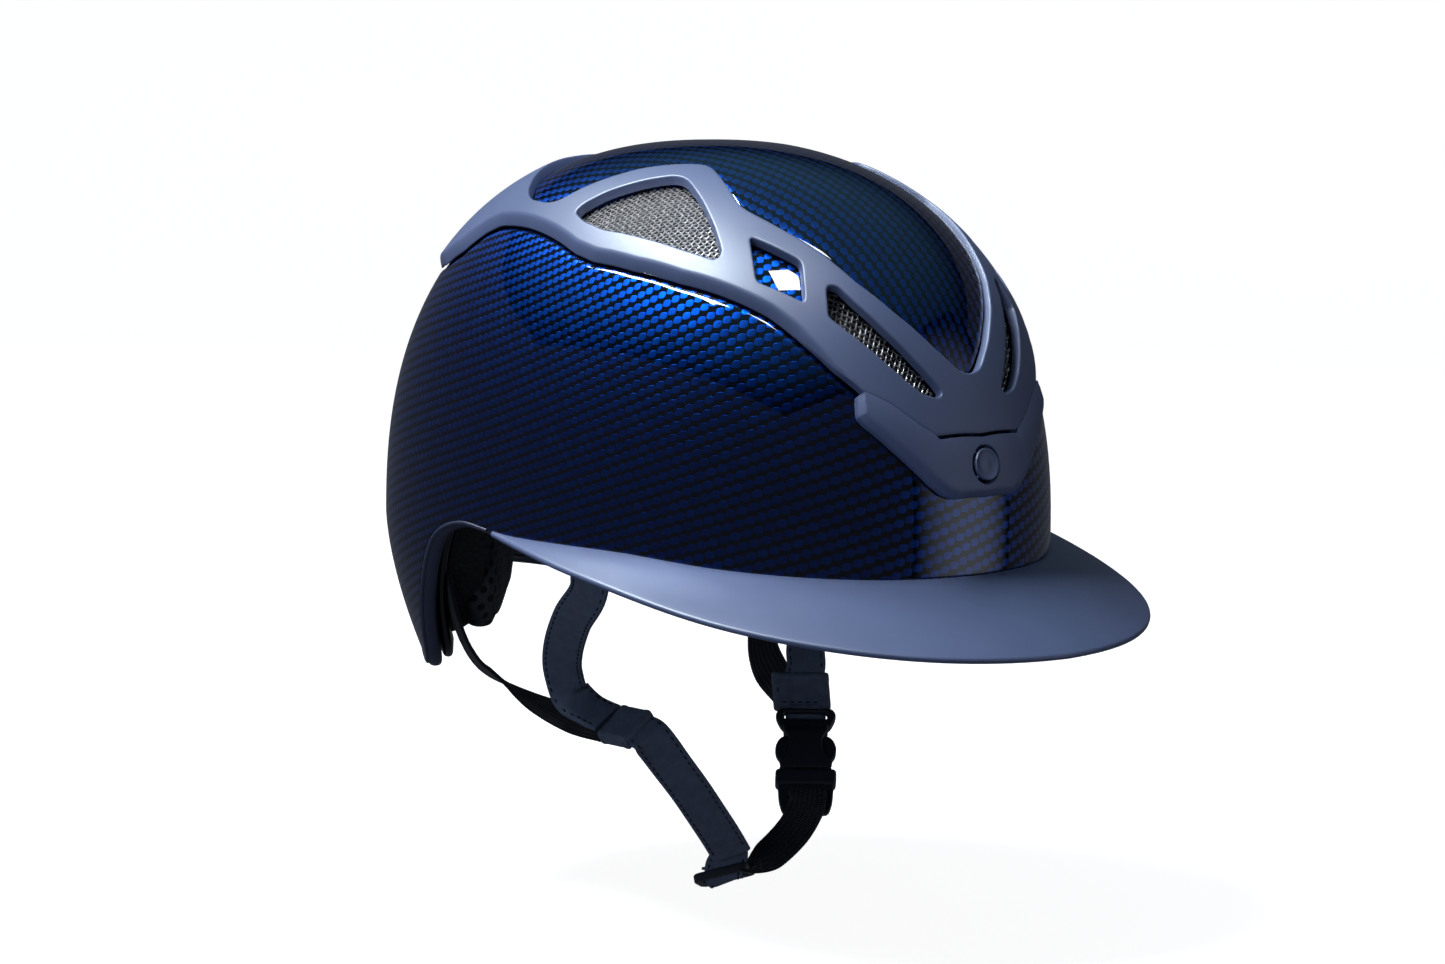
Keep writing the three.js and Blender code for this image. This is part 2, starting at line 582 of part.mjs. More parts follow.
function plate(outline, holes, depth) {
  const shape = new THREE.Shape(outline.map(([x, y]) => new THREE.Vector2(x, y)));
  holes.forEach((hole) => shape.holes.push(new THREE.Path(hole.map(([x, y]) => new THREE.Vector2(x, y)))));
  return new THREE.ExtrudeGeometry(shape, { depth, bevelEnabled: false }).translate(0, 0, -depth / 2);
}

const box = (x0, y0, x1, y1) => [[x0, y0], [x1, y0], [x1, y1], [x0, y1]];

// Leather loops that join the straps of each side
addPart('strap_divider_right', plate(box(-8.6, 0, 8.6, 16.6), [], 6.4), 'leather', frameAt([-59.2, -11.9, -76], [0.8, 0, 0.6], [0.02, -1, 0]));
const KEEPER_FRAME = frameAt([55.2, 0.6, -69.6], [0.73, -0.684, 0], [-0.33, -0.387, -0.862]);
addPart('keeper_sleeve', plate([[-12.3, 0], [11, 0], [12.3, 15.8], [-11.2, 15.8]], [], 7), 'leather', KEEPER_FRAME);

// Side-release buckle: x is across, y runs along the strap towards the chin, z is out of the face
const BUCKLE_FRAME = frameAt([47.9, -9.8, -84.4], [0.73, -0.684, 0], [-0.33, -0.387, -0.862]);
const HALF_DEPTH = 4.4;

function makeSocket() {
  const loop = plate(
    [[-12, 3], [-12.4, 0], [-10.5, -2.2], [10.5, -2.2], [12.4, 0], [12, 3], [9.8, 7.5], [-9.8, 7.5]],
    [box(-8.6, -0.2, 8.6, 2.6)], 4.6,
  );
  const face = [[-10, 6.5], [10, 6.5], [11.4, 10], [11.4, 18], [10.5, 24], [-10.5, 24], [-11.4, 18], [-11.4, 10]];
  const cheek = (z) => plate(face, [], 1.6).translate(0, 0, z);
  const neck = plate(box(-9, 5.5, 9, 9), [], 2 * HALF_DEPTH);
  return union([loop, neck, cheek(HALF_DEPTH - 0.8), cheek(0.8 - HALF_DEPTH)].map(solidOf));
}

function makePlug() {
  const flange = plate(box(-12.3, 24.5, 12.3, 31.5), [], 2 * HALF_DEPTH);
  const guide = plate(box(-2.2, 12, 2.2, 26), [], 4.4);
  const ladder = plate(box(-11, 31, 11, 43), [box(-8.4, 32.6, 8.4, 35.8), box(-8.4, 38, 8.4, 41)], 3.6);
  return union([flange, guide, ladder].map(solidOf));
}

function makeProng(side) {
  const arm = [[4.2, 24.1], [4.4, 15], [5.6, 10.5], [8, 9.4], [11, 11.2], [12.6, 14.5], [12, 18.5], [9.4, 21], [9.2, 24.1]];
  const outline = arm.map(([x, y]) => [side * x, y]);
  return plate(side < 0 ? outline.reverse() : outline, [], 4.2);
}

addPart('buckle_socket', geometryOf(makeSocket()), 'plastic', BUCKLE_FRAME);
addPart('buckle_plug', geometryOf(makePlug()), 'plastic', BUCKLE_FRAME);
addPart('buckle_prong_left', makeProng(1), 'plastic', BUCKLE_FRAME);
addPart('buckle_prong_right', makeProng(-1), 'plastic', BUCKLE_FRAME);

// Webbing from the chin adjuster up to the buckle's ladder lock, its slider and the adjuster
const CHIN_WEBBING = [
  [8.5, -30.5, -133.6, -0.3, -0.5, 0.8], [16.4, -34, -126, -0.5, -0.5, 0.7], [24, -32.5, -120.5, -0.6, -0.5, 0.6],
  [30.5, -29, -116, -0.6, -0.6, 0.5], [34.9, -25.2, -111.6, -0.6, -0.6, 0.5],
];
addPart('chin_webbing', strap(CHIN_WEBBING, 10, WEBBING), 'webbing');
addPart(
  'chin_adjuster',
  plate(
    [[-12, -4], [-10, -6.5], [10, -6.5], [12, -4], [12, 4], [10, 6.5], [-10, 6.5], [-12, 4]],
    [box(-8.6, -4.6, 8.6, -1.4), box(-8.6, 1.4, 8.6, 4.6)], 3.4,
  ),
  'plastic',
  frameAt([-4.4, -18.4, -141.8], [0.52, -0.8, 0.3], [0.62, 0.35, -0.3]),
);

export default parts;
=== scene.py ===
"""Looks of the riding helmet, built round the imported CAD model.

Sizes are in millimetres and degrees, and MM turns them into Blender's metres. The origin is the centre of the
dome, +Z is up, the front is -Y and the wearer's left is +X. A place on the dome is (u, v) in degrees, counted
along the surface from straight up: u towards the wearer's left and v towards the front.
"""

import math

import bpy
import numpy as np
from mathutils import Matrix, Vector
from mathutils.geometry import delaunay_2d_cdt


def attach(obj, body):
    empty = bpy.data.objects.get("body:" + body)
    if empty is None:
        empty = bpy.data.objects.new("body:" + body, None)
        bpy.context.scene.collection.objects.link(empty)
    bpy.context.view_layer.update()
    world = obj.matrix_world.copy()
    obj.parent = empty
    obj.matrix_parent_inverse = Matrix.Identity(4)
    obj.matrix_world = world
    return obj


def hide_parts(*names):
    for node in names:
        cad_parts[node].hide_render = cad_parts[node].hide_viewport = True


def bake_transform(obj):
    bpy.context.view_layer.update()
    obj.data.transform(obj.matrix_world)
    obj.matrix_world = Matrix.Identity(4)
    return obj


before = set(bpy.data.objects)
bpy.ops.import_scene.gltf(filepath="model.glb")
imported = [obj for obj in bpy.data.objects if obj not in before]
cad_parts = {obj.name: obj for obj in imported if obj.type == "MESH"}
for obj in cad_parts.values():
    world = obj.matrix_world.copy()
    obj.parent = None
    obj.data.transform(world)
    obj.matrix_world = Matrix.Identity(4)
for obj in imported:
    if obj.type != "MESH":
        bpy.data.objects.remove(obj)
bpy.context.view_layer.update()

MM = 0.001
MM_PER_DEGREE = 2.45
GAP = 0.4
SHELL = dict(half_width=113, front=148.6, rear=139.2, crown=146.3, plan_power=2.15, front_power=2.33,
             rear_power=2.36, low_front=900, low_rear=147, low_power=1.6)
LINER_INSIDE = dict(half_width=85, front=110, rear=106, crown=117, plan_power=2.1, front_power=2.2,
                    rear_power=2.2, low_front=2000, low_rear=2000, low_power=2)
HEAD = dict(half_width=78, front=102, rear=98, crown=109, plan_power=2.1, front_power=2.2,
            rear_power=2.2, low_front=2000, low_rear=2000, low_power=2)
SHELL_THICKNESS = 3
SHELL_RIM = dict(below_edge=1.2, fall=1.2, width=1.6)
SHELL_GROOVE = dict(width=2.8, depth=0.8)
CROWN_BULGE = dict(height=3.2, half_width=30, middle=20, half_length=46)
CROWN_RIM = dict(fall=0.9, width=2.2)
FRAME_PROUD = 4.2
FRAME_SKIRT = dict(foot=0.8, power=1.35, width=3.2, narrower=2.4, flatter=0.92, front_start=50, front_end=60)
FRAME_LIP = dict(fall=0.7, width=0.8)
PLATE_PROUD = 5
PLATE_BEVEL = dict(fall=1.7, width=2.6)
PLATE_RIM = dict(fall=0.6, width=0.5)
PLATE_TOP_SLOPE = dict(fall=0.7, width=7)
PLATE_RING = dict(gap=0.5, fall=0.35, width=0.6)
BADGE = dict(height=33, radius=6, thickness=1.6)
BRIM = dict(reach=45, reach_power=1.215, drop=40, drop_power=1.366, lift=0.37, thickness=2.4, end=88)

# Lower edge of the shell: azimuth from the front in degrees, height in millimetres
EDGE = [
    (0, -8), (20, -7), (40, -4), (57, 0), (70, 1), (85, 2), (92, 4), (97.5, 5), (103, 3), (108, -2),
    (111.5, -10), (115, -21), (118, -31), (122, -44), (126, -54), (131, -58), (138, -56),
    (150, -48), (165, -34), (180, -28),
]

# Outlines on the dome, wearer's left half, as (u, v)
CROWN_OPENING = [
    (0, -23), (8, -22), (16, -19.5), (22, -16.3), (27, -12.8), (29.6, -9.5), (30.8, -4.5), (30.2, -1.9),
    (27.1, 0.7), (20.8, 7.8), (17.8, 12.4), (16, 15.7), (15.9, 17.6), (18.7, 24.7), (20.2, 28.4),
    (19.9, 31.2), (18.5, 36.5), (16.5, 42.3), (14.5, 48.7), (11, 54.8), (6.5, 60.7), (2.6, 64.6), (0, 65.2),
]
FRAME_OUTSIDE = [
    (0, -48), (10, -47), (20, -44.5), (28, -40), (33, -33), (34, -26.2), (32.6, -20), (32.4, -16),
    (34.4, -6.9), (36.3, 0.6), (38.5, 8.4), (38.9, 13.4), (37.6, 22), (35.2, 30.9), (32, 38.6),
    (28.9, 45.9), (27, 52), (24.8, 58),
]
SIDE_WINDOW = [
    (32.4, 3.7), (33.8, 7.3), (34.3, 12.4), (33, 20.6), (31.6, 27.3), (29.6, 33.6), (28.2, 33.4),
    (25.8, 29), (23.2, 23.5), (20.6, 17.2), (20.7, 14.8), (23.7, 10.9), (27.5, 6.7), (31, 3.9),
]
DIAMOND_WINDOW = [(23.3, 34.1), (27.5, 40.7), (23.6, 47.8), (20, 42.2)]
FRONT_WINDOW = [
    (19.1, 47.3), (21.6, 51.4), (19.3, 55.9), (16.4, 60.6), (13.9, 64.1), (11.4, 66.6), (8.5, 67.7),
    (7.3, 67.2), (11.1, 61.7), (14.1, 56.7), (16.5, 51.6), (17.7, 48),
]
REAR_WINDOW = [(0, -29), (9, -28.4), (11.5, -30.5), (9.5, -37.5), (7, -39.4), (0, -40)]
PLATE_TOP = [(46, 60.5), (38, 56), (33, 52), (28, 48), (22, 44.4), (20.9, 44.4), (0, 44.4)]
PLATE_BOTTOM = [
    (0, 21), (15, 21), (20, 22.8), (25, 26.6), (33, 34.4), (38.5, 39.8), (48, 49.3), (49.6, 52), (48.6, 59.5),
]

# Cloth of the weave: the shell's mean radius round it and over it, its tilt, and what one turn round adds
WEAVE_RADIUS = 122.0
WEAVE_RISE = 138
WEAVE_TILT = math.tan(math.radians(10))
WEAVE_TURN = 2 * math.pi * WEAVE_RADIUS
WEAVE_UNIT = 0.01


# Small helpers

def unit(rows):
    return rows / np.linalg.norm(rows, axis=-1)[..., None]


def square_to(rows, along):
    """Unit directions at right angles to along, each as near to its row as can be."""
    return unit(rows - along * np.sum(rows * along, axis=1)[:, None])


def run_length(points):
    return np.concatenate([[0], np.cumsum(np.linalg.norm(np.diff(points, axis=0), axis=1))])


def fade(distance, width):
    """1 at an edge, falling evenly to 0 at that width from it."""
    return np.clip(1 - distance / width, 0, 1)


def rounding(distance, width):
    """Share of the fall of an edge that is rounded over that width."""
    return 1 - np.sqrt(1 - fade(distance, width) ** 2)


# Dome

def direction(from_top, azimuth):
    t, a = np.radians(from_top), np.radians(azimuth)
    return np.stack([np.sin(t) * np.sin(a), -np.sin(t) * np.cos(a), np.cos(t) + 0 * a], axis=-1)


def dome_radius(shape, d):
    """Distance from the origin to the dome along each unit direction."""
    rearness = 0.5 + 0.5 * d[..., 1] / np.maximum(1e-9, np.hypot(d[..., 0], d[..., 1]))
    length = np.where(d[..., 1] < 0, shape["front"], shape["rear"])
    low = 1 / ((1 - rearness) / shape["low_front"] + rearness / shape["low_rear"])
    above = d[..., 2] > 0
    upper_power = shape["front_power"] * (1 - rearness) + shape["rear_power"] * rearness
    power = np.where(above, upper_power, shape["low_power"])
    height = np.where(above, shape["crown"], low)
    p = shape["plan_power"]
    plan = (np.abs(d[..., 0] / shape["half_width"]) ** p + np.abs(d[..., 1] / length) ** p) ** (1 / p)
    return (plan ** power + np.abs(d[..., 2] / height) ** power) ** (-1 / power)


def on_dome(shape, from_top, azimuth, offset=0.0):
    d = direction(np.asarray(from_top, float), np.asarray(azimuth, float))
    return d * (dome_radius(shape, d) + offset)[..., None]


def at_uv(uv, offset=0.0, shape=SHELL):
    uv = np.asarray(uv, float)
    u, v = uv[..., 0], uv[..., 1]
    return on_dome(shape, np.hypot(u, v), np.degrees(np.arctan2(u, v)), offset)


def angle_at_height(shape, azimuth, height):
    """Angle from the top at which the dome comes down to a height, for arrays of azimuths and heights."""
    azimuth, height = np.broadcast_arrays(np.asarray(azimuth, float), np.asarray(height, float))
    low, high = np.full(azimuth.shape, 30.0), np.full(azimuth.shape, 140.0)
    for _ in range(40):
        middle = (low + high) / 2
        above = on_dome(shape, middle, azimuth)[..., 2] > height
        low, high = np.where(above, middle, low), np.where(above, high, middle)
    return low


def plain_radius(shape, azimuth, height):
    p = on_dome(shape, angle_at_height(shape, azimuth, height), azimuth)
    return np.hypot(p[..., 0], p[..., 1])


def catmull(points, t):
    """Centripetal Catmull-Rom curve through points, at t from 0 to 1 shared evenly by its spans."""
    p = np.asarray(points, float)
    full = np.vstack([2 * p[0] - p[1], p, 2 * p[-1] - p[-2]])
    place = np.clip(np.asarray(t, float), 0, 1) * (len(p) - 1)
    span = np.minimum(place.astype(int), len(p) - 2)
    w = (place - span)[:, None]
    p0, p1, p2, p3 = (full[span + k] for k in range(4))
    d0, d1, d2 = (np.maximum(np.linalg.norm(b - a, axis=1)[:, None] ** 0.5, 1e-6)
                  for a, b in ((p0, p1), (p1, p2), (p2, p3)))
    m1 = ((p1 - p0) / d0 - (p2 - p0) / (d0 + d1) + (p2 - p1) / d1) * d1
    m2 = ((p2 - p1) / d1 - (p3 - p1) / (d1 + d2) + (p3 - p2) / d2) * d1
    return ((2 * w ** 3 - 3 * w ** 2 + 1) * p1 + (w ** 3 - 2 * w ** 2 + w) * m1
            + (3 * w ** 2 - 2 * w ** 3) * p2 + (w ** 3 - w ** 2) * m2)


EDGE_CURVE = catmull(EDGE, np.linspace(0, 1, 400))


def edge_height(azimuth):
    folded = np.abs((np.asarray(azimuth, float) + 180) % 360 - 180)
    return np.interp(folded, EDGE_CURVE[:, 0], EDGE_CURVE[:, 1])


def from_ahead(x, z, offset=4):
    """(u, v) of the dome's front at a place seen from ahead."""
    t, a = 60.0, 0.0
    for _ in range(30):
        y = min(-1.0, on_dome(SHELL, t, a, offset)[1])
        t = math.degrees(math.acos(z / math.sqrt(x * x + y * y + z * z)))
        a = math.degrees(math.atan2(x, -y))
    return t * math.sin(math.radians(a)), t * math.cos(math.radians(a))


# Outlines

def mirrored(outline):
    return [(-u, v) for u, v in outline]


def both_sides(half):
    return list(half) + mirrored([p for p in half if abs(p[0]) > 1e-6])[::-1]


def smooth_outline(outline, step=0.5, passes=4):
    """Closed outline at an even step in degrees, its corners rounded by a few averaging passes."""
    p = np.asarray(outline, float)
    closed = np.vstack([p, p[:1]])
    run = run_length(closed)
    s = np.linspace(0, run[-1], max(12, round(run[-1] / step)), endpoint=False)
    out = np.stack([np.interp(s, run, closed[:, k]) for k in (0, 1)], axis=1)
    for _ in range(passes):
        out = 0.5 * out + 0.25 * (np.roll(out, 1, axis=0) + np.roll(out, -1, axis=0))
    return out


def area(p):
    q = np.roll(p, -1, axis=0)
    return 0.5 * np.sum(p[:, 0] * q[:, 1] - q[:, 0] * p[:, 1])


def grow(p, distance):
    """The outline moved outwards by a distance in degrees, or inwards when it is negative."""
    before = p - np.roll(p, 1, axis=0)
    after = np.roll(p, -1, axis=0) - p
    along = unit(unit(before) + unit(after))
    turn = np.sign(area(p))
    return p + distance * turn * np.stack([along[:, 1], -along[:, 0]], axis=1)


def inside(points, outline):
    x, y = points[:, 0], points[:, 1]
    result = np.zeros(len(points), bool)
    for (x0, y0), (x1, y1) in zip(outline, np.roll(outline, -1, axis=0)):
        if y0 != y1:
            crosses = (y0 > y) != (y1 > y)
            result ^= crosses & (x < (x1 - x0) * (y - y0) / (y1 - y0) + x0)
    return result


def distance_to(points, outlines, closed=True):
    """Distance in degrees from each point to the nearest of the outlines."""
    best = np.full(len(points), 1e9)
    for outline in outlines:
        a, b = outline, np.roll(outline, -1, axis=0)
        if not closed:
            a, b = a[:-1], b[:-1]
        ab = b - a
        length2 = np.maximum(1e-12, np.sum(ab * ab, axis=1))
        for start in range(0, len(points), 2000):
            ap = points[start:start + 2000, None, :] - a[None]
            t = np.clip(np.sum(ap * ab, axis=2) / length2, 0, 1)
            gap = np.linalg.norm(ap - t[..., None] * ab, axis=2).min(axis=1)
            best[start:start + 2000] = np.minimum(best[start:start + 2000], gap)
    return best


def mm_to(points, outlines, closed=True):
    return distance_to(points, outlines, closed) * MM_PER_DEGREE


def hex_grid(spacing, reach):
    rows = np.arange(-reach, reach, spacing * math.sqrt(3) / 2)
    columns = np.arange(-reach, reach, spacing)
    shifts = [i % 2 * spacing / 2 for i in range(len(rows))]
    return np.vstack([np.stack([columns + shift, np.full(len(columns), v)], axis=1)
                      for shift, v in zip(shifts, rows)])


def region_mesh(outer, holes, spacing, bands, extra=()):
    """Points and triangles that fill outer less holes, with rows of points at the bands' depths from edges.

    extra is a list of (outline, distances) that get rows of points of their own.
    """
    edges = [outer] + list(holes)
    rows = [grow(outer, -d) for d in bands] + [grow(h, d) for h in holes for d in bands]
    depths = list(bands) * len(edges)
    kept = [row[distance_to(row, edges) > 0.8 * depth] for row, depth in zip(rows, depths)]
    extra_lines = [outline for outline, _ in extra]
    for outline, distances in extra:
        for d in distances:
            row = grow(outline, d)
            kept.append(row[distance_to(row, [outline]) > 0.8 * abs(d)] if d else row)
    clear = max(bands) if bands else 0
    grid = hex_grid(spacing, 125)
    grid = grid[inside(grid, outer)]
    grid = grid[distance_to(grid, edges) > clear + 0.5 * spacing]
    if extra_lines:
        widest = max(max(abs(d) for d in distances) for _, distances in extra)
        grid = grid[distance_to(grid, extra_lines) > widest + 0.4 * spacing]
    free = np.vstack(kept + [grid])
    free = free[inside(free, outer)]
    for hole in holes:
        free = free[~inside(free, hole)]
    points, constraints = [], []
    for outline in edges:
        start = sum(len(p) for p in points)
        points.append(outline)
        constraints += [(start + i, start + (i + 1) % len(outline)) for i in range(len(outline))]
    points = np.vstack(points + [free])
    cdt = delaunay_2d_cdt([Vector(p) for p in points.tolist()], constraints, [], 0, 1e-5)
    uv = np.array([tuple(p) for p in cdt[0]])
    triangles = np.array(cdt[2])
    middle = uv[triangles].mean(axis=1)
    keep = inside(middle, outer)
    for hole in holes:
        keep &= ~inside(middle, hole)
    return uv, triangles[keep]


def border_edges(triangles):
    """Edges that only one triangle uses, in that triangle's direction."""
    count = {}
    for a, b, c in triangles.tolist():
        for edge in ((a, b), (b, c), (c, a)):
            count[edge] = count.get(edge, 0) + 1
    return [edge for edge in count if (edge[1], edge[0]) not in count]


# Blender objects

def vertex_places(mesh):
    return np.array([v.co[:] for v in mesh.vertices])


def write_weave(mesh, coordinates, wrap=None):
    """Stores each vertex's weave coordinates, in millimetres, at its face corners, scaled by WEAVE_UNIT."""
    layer = mesh.uv_layers.new(name="weave")
    corners = np.empty(len(mesh.loops), int)
    mesh.loops.foreach_get("vertex_index", corners)
    uv = coordinates[corners]
    if wrap:
        count = np.empty(len(mesh.polygons), int)
        mesh.polygons.foreach_get("loop_total", count)
        start = np.concatenate([[0], np.cumsum(count)[:-1]])
        highest = np.repeat(np.maximum.reduceat(uv[:, 0], start), count)
        uv += np.where(highest - uv[:, 0] > abs(wrap[0]) / 2, 1, 0)[:, None] * np.array(wrap)
    layer.data.foreach_set("uv", (uv * WEAVE_UNIT).astype(np.float32).ravel())


def make_object(name, points, faces, coordinates=None, sharp=40, smooth=True, wrap=None):
    """Mesh object from points in millimetres, with each point's place in the weave, in millimetres.

    wrap is what one turn round the helmet adds to the weave coordinates, for faces that cross the back.
    """
    mesh = bpy.data.meshes.new(name)
    mesh.from_pydata((np.asarray(points) * MM).tolist(), [], [tuple(int(i) for i in f) for f in faces])
    if coordinates is not None:
        write_weave(mesh, np.asarray(coordinates, float), wrap)
    if smooth:
        mesh.shade_smooth()
        mesh.set_sharp_from_angle(angle=math.radians(sharp))
    mesh.validate()
    obj = bpy.data.objects.new(name, mesh)
    bpy.context.collection.objects.link(obj)
    return obj


def finish_piece(obj, body, material, nodes=()):
    obj.data.materials.append(material)
    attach(obj, body)
    if nodes:
        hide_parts(*nodes)
    return obj


def dome_plate(name, outer, holes, top, bottom, spacing, bands, weave, extra=(), sharp=40, wrap=None):
    """Closed plate on the dome. top and bottom give offsets from it at (u, v) points and edge distances."""
    uv, triangles = region_mesh(outer, holes, spacing, bands, extra)
    depth = mm_to(uv, [outer] + list(holes))
    upper = at_uv(uv, top(uv, depth))
    lower = at_uv(uv, bottom(uv, depth))
    a, b, c = (upper[triangles[:, k]] for k in range(3))
    facing = np.sum(np.cross(b - a, c - a) * a, axis=1)
    triangles = np.where(facing[:, None] < 0, triangles[:, ::-1], triangles)
    n = len(uv)
    faces = triangles.tolist() + (triangles[:, ::-1] + n).tolist()
    faces += [(q, p, p + n, q + n) for p, q in border_edges(triangles)]
    coordinates = np.vstack([weave(uv)] * 2)
    return make_object(name, np.vstack([upper, lower]), faces, coordinates, sharp, wrap=wrap)


def flat(offset):
    return lambda uv, depth: np.full(len(uv), float(offset))


# Materials

def new_material(name):
    material = bpy.data.materials.new(name)
    material.use_nodes = True
    tree = material.node_tree
    tree.nodes.clear()
    output = tree.nodes.new("ShaderNodeOutputMaterial")
    shader = tree.nodes.new("ShaderNodeBsdfPrincipled")
    tree.links.new(shader.outputs[0], output.inputs[0])
    return material, tree, shader


def math_node(tree, operation, a, b=None, clamp=False):
    node = tree.nodes.new("ShaderNodeMath")
    node.operation = operation
    node.use_clamp = clamp
    for socket, value in zip(node.inputs, (a, b)):
        if value is None:
            continue
        if isinstance(value, (int, float)):
            socket.default_value = value
        else:
            tree.links.new(value, socket)
    return node.outputs[0]


def from_middle(tree, value):
    """How far a value is from the middle of its whole step, from -0.5 to 0.5."""
    return math_node(tree, "SUBTRACT", math_node(tree, "FRACT", value), 0.5)


def mix_colour(tree, factor, a, b):
    node = tree.nodes.new("ShaderNodeMix")
    node.data_type = "RGBA"
    tree.links.new(factor, node.inputs[0])
    for socket, value in ((node.inputs[6], a), (node.inputs[7], b)):
        if isinstance(value, tuple):
            socket.default_value = (*value, 1)
        else:
            tree.links.new(value, socket)
    return node.outputs[2]


def map_range(tree, value, from_low, from_high, to_low, to_high, smooth=False):
    node = tree.nodes.new("ShaderNodeMapRange")
    node.interpolation_type = "SMOOTHSTEP" if smooth else "LINEAR"
    tree.links.new(value, node.inputs[0])
    for socket, number in zip(node.inputs[1:5], (from_low, from_high, to_low, to_high)):
        socket.default_value = number
    return node.outputs[0]


def noise(tree, scale, detail=3, vector=None, roughness=0.5):
    node = tree.nodes.new("ShaderNodeTexNoise")
    node.inputs["Scale"].default_value = scale
    node.inputs["Detail"].default_value = detail
    node.inputs["Roughness"].default_value = roughness
    tree.links.new(vector or place_vector(tree), node.inputs["Vector"])
    return node.outputs["Fac"]


def place_vector(tree):
    return tree.nodes.new("ShaderNodeTexCoord").outputs["Object"]


def weave_vector(tree, turn):
    """The piece's weave coordinates in millimetres, turned by an angle in degrees."""
    source = tree.nodes.new("ShaderNodeUVMap")
    source.uv_map = "weave"
    mapping = tree.nodes.new("ShaderNodeMapping")
    mapping.inputs["Rotation"].default_value = (0, 0, math.radians(turn))
    mapping.inputs["Scale"].default_value = (1 / WEAVE_UNIT,) * 3
    tree.links.new(source.outputs[0], mapping.inputs["Vector"])
    split = tree.nodes.new("ShaderNodeSeparateXYZ")
    tree.links.new(mapping.outputs[0], split.inputs[0])
    return split.outputs[0], split.outputs[1]


def paint(tree, shader, **values):
    """Links values to the shader's inputs of those names, which have spaces in place of underscores."""
    for name, value in values.items():
        tree.links.new(value, shader.inputs[name.replace("_", " ")])


def bump(tree, shader, height, distance, strength=1.0):
    node = tree.nodes.new("ShaderNodeBump")
    node.inputs["Strength"].default_value = strength
    node.inputs["Distance"].default_value = distance * MM
    tree.links.new(height, node.inputs["Height"])
    tree.links.new(node.outputs[0], shader.inputs["Normal"])


def carbon_material():
    """Blue carbon twill under a clear coat: tows whose floats step up from one tow to the next."""
    tow, period, step, turn = 3.4, 4.75, 0.29, 13
    material, tree, shader = new_material("carbon_twill")
    x, y = weave_vector(tree, turn)
    column = math_node(tree, "DIVIDE", x, tow)
    index = math_node(tree, "FLOOR", column)
    row = math_node(tree, "DIVIDE", y, period)
    shifted = math_node(tree, "ADD", row, math_node(tree, "MULTIPLY", index, -step))
    across = math_node(tree, "MULTIPLY", math_node(tree, "ABSOLUTE", from_middle(tree, column)), 2.0)
    along = math_node(tree, "MULTIPLY", math_node(tree, "ABSOLUTE", from_middle(tree, shifted)), 3.5)
    shape = math_node(tree, "ADD", *[math_node(tree, "POWER", share, 3.0) for share in (across, along)])
    float_mask = map_range(tree, shape, 0.75, 1.15, 1.0, 0.0, smooth=True)
    cell = tree.nodes.new("ShaderNodeCombineXYZ")
    tree.links.new(index, cell.inputs[0])
    tree.links.new(math_node(tree, "FLOOR", shifted), cell.inputs[1])
    random = tree.nodes.new("ShaderNodeTexWhiteNoise")
    tree.links.new(cell.outputs[0], random.inputs["Vector"])
    bright = mix_colour(tree, random.outputs["Value"], (0.0, 0.022, 0.155), (0.0, 0.036, 0.225))
    fibre = noise(tree, 2600, 2)
    bright = mix_colour(tree, math_node(tree, "MULTIPLY", fibre, 0.5), bright, (0.0, 0.009, 0.075))
    paint(tree, shader, Base_Color=mix_colour(tree, float_mask, (0.0025, 0.0035, 0.009), bright),
          Metallic=math_node(tree, "MULTIPLY", float_mask, 0.92),
          Roughness=map_range(tree, float_mask, 0, 1, 0.6, 0.36))
    arch = math_node(tree, "SUBTRACT", 1.0, math_node(tree, "MULTIPLY", across, across))
    bump(tree, shader, math_node(tree, "MULTIPLY", float_mask, arch), 0.10, 0.6)
    fibre_way = tree.nodes.new("ShaderNodeTangent")
    fibre_way.direction_type = "UV_MAP"
    fibre_way.uv_map = "weave"
    paint(tree, shader, Tangent=fibre_way.outputs[0])
    shader.inputs["Anisotropic"].default_value = 0.6
    shader.inputs["Coat Weight"].default_value = 1.0
    shader.inputs["Coat Roughness"].default_value = 0.025
    shader.inputs["Coat IOR"].default_value = 1.5
    shader.inputs["Specular IOR Level"].default_value = 0.0
    return material


def satin_material(name, base, light, roughness=0.42, grain=0.03):
    """Painted or moulded satin surface with a fine grain and slight clouding of its colour."""
    material, tree, shader = new_material(name)
    cloud = map_range(tree, noise(tree, 28, 4), 0.35, 0.65, 0.0, 1.0)
    fine = noise(tree, 1900, 2)
    paint(tree, shader, Base_Color=mix_colour(tree, cloud, base, light),
          Roughness=map_range(tree, fine, 0.3, 0.7, roughness - 0.04, roughness + 0.06))
    bump(tree, shader, fine, grain, 0.35)
    return material


def gloss_material():
    material, tree, shader = new_material("gloss_black")
    smear = noise(tree, 60, 3)
    paint(tree, shader, Base_Color=mix_colour(tree, smear, (0.003, 0.003, 0.004), (0.008, 0.009, 0.012)),
          Roughness=map_range(tree, smear, 0.3, 0.7, 0.04, 0.10))
    bump(tree, shader, noise(tree, 90, 1), 0.15, 0.25)
    return material


def wire_material(name, dark, bright):
    material, tree, shader = new_material(name)
    tint = noise(tree, 420, 2)
    paint(tree, shader, Base_Color=mix_colour(tree, map_range(tree, tint, 0.35, 0.65, 0, 1), dark, bright),
          Roughness=map_range(tree, tint, 0.3, 0.7, 0.20, 0.34))
    shader.inputs["Metallic"].default_value = 0.6
    return material


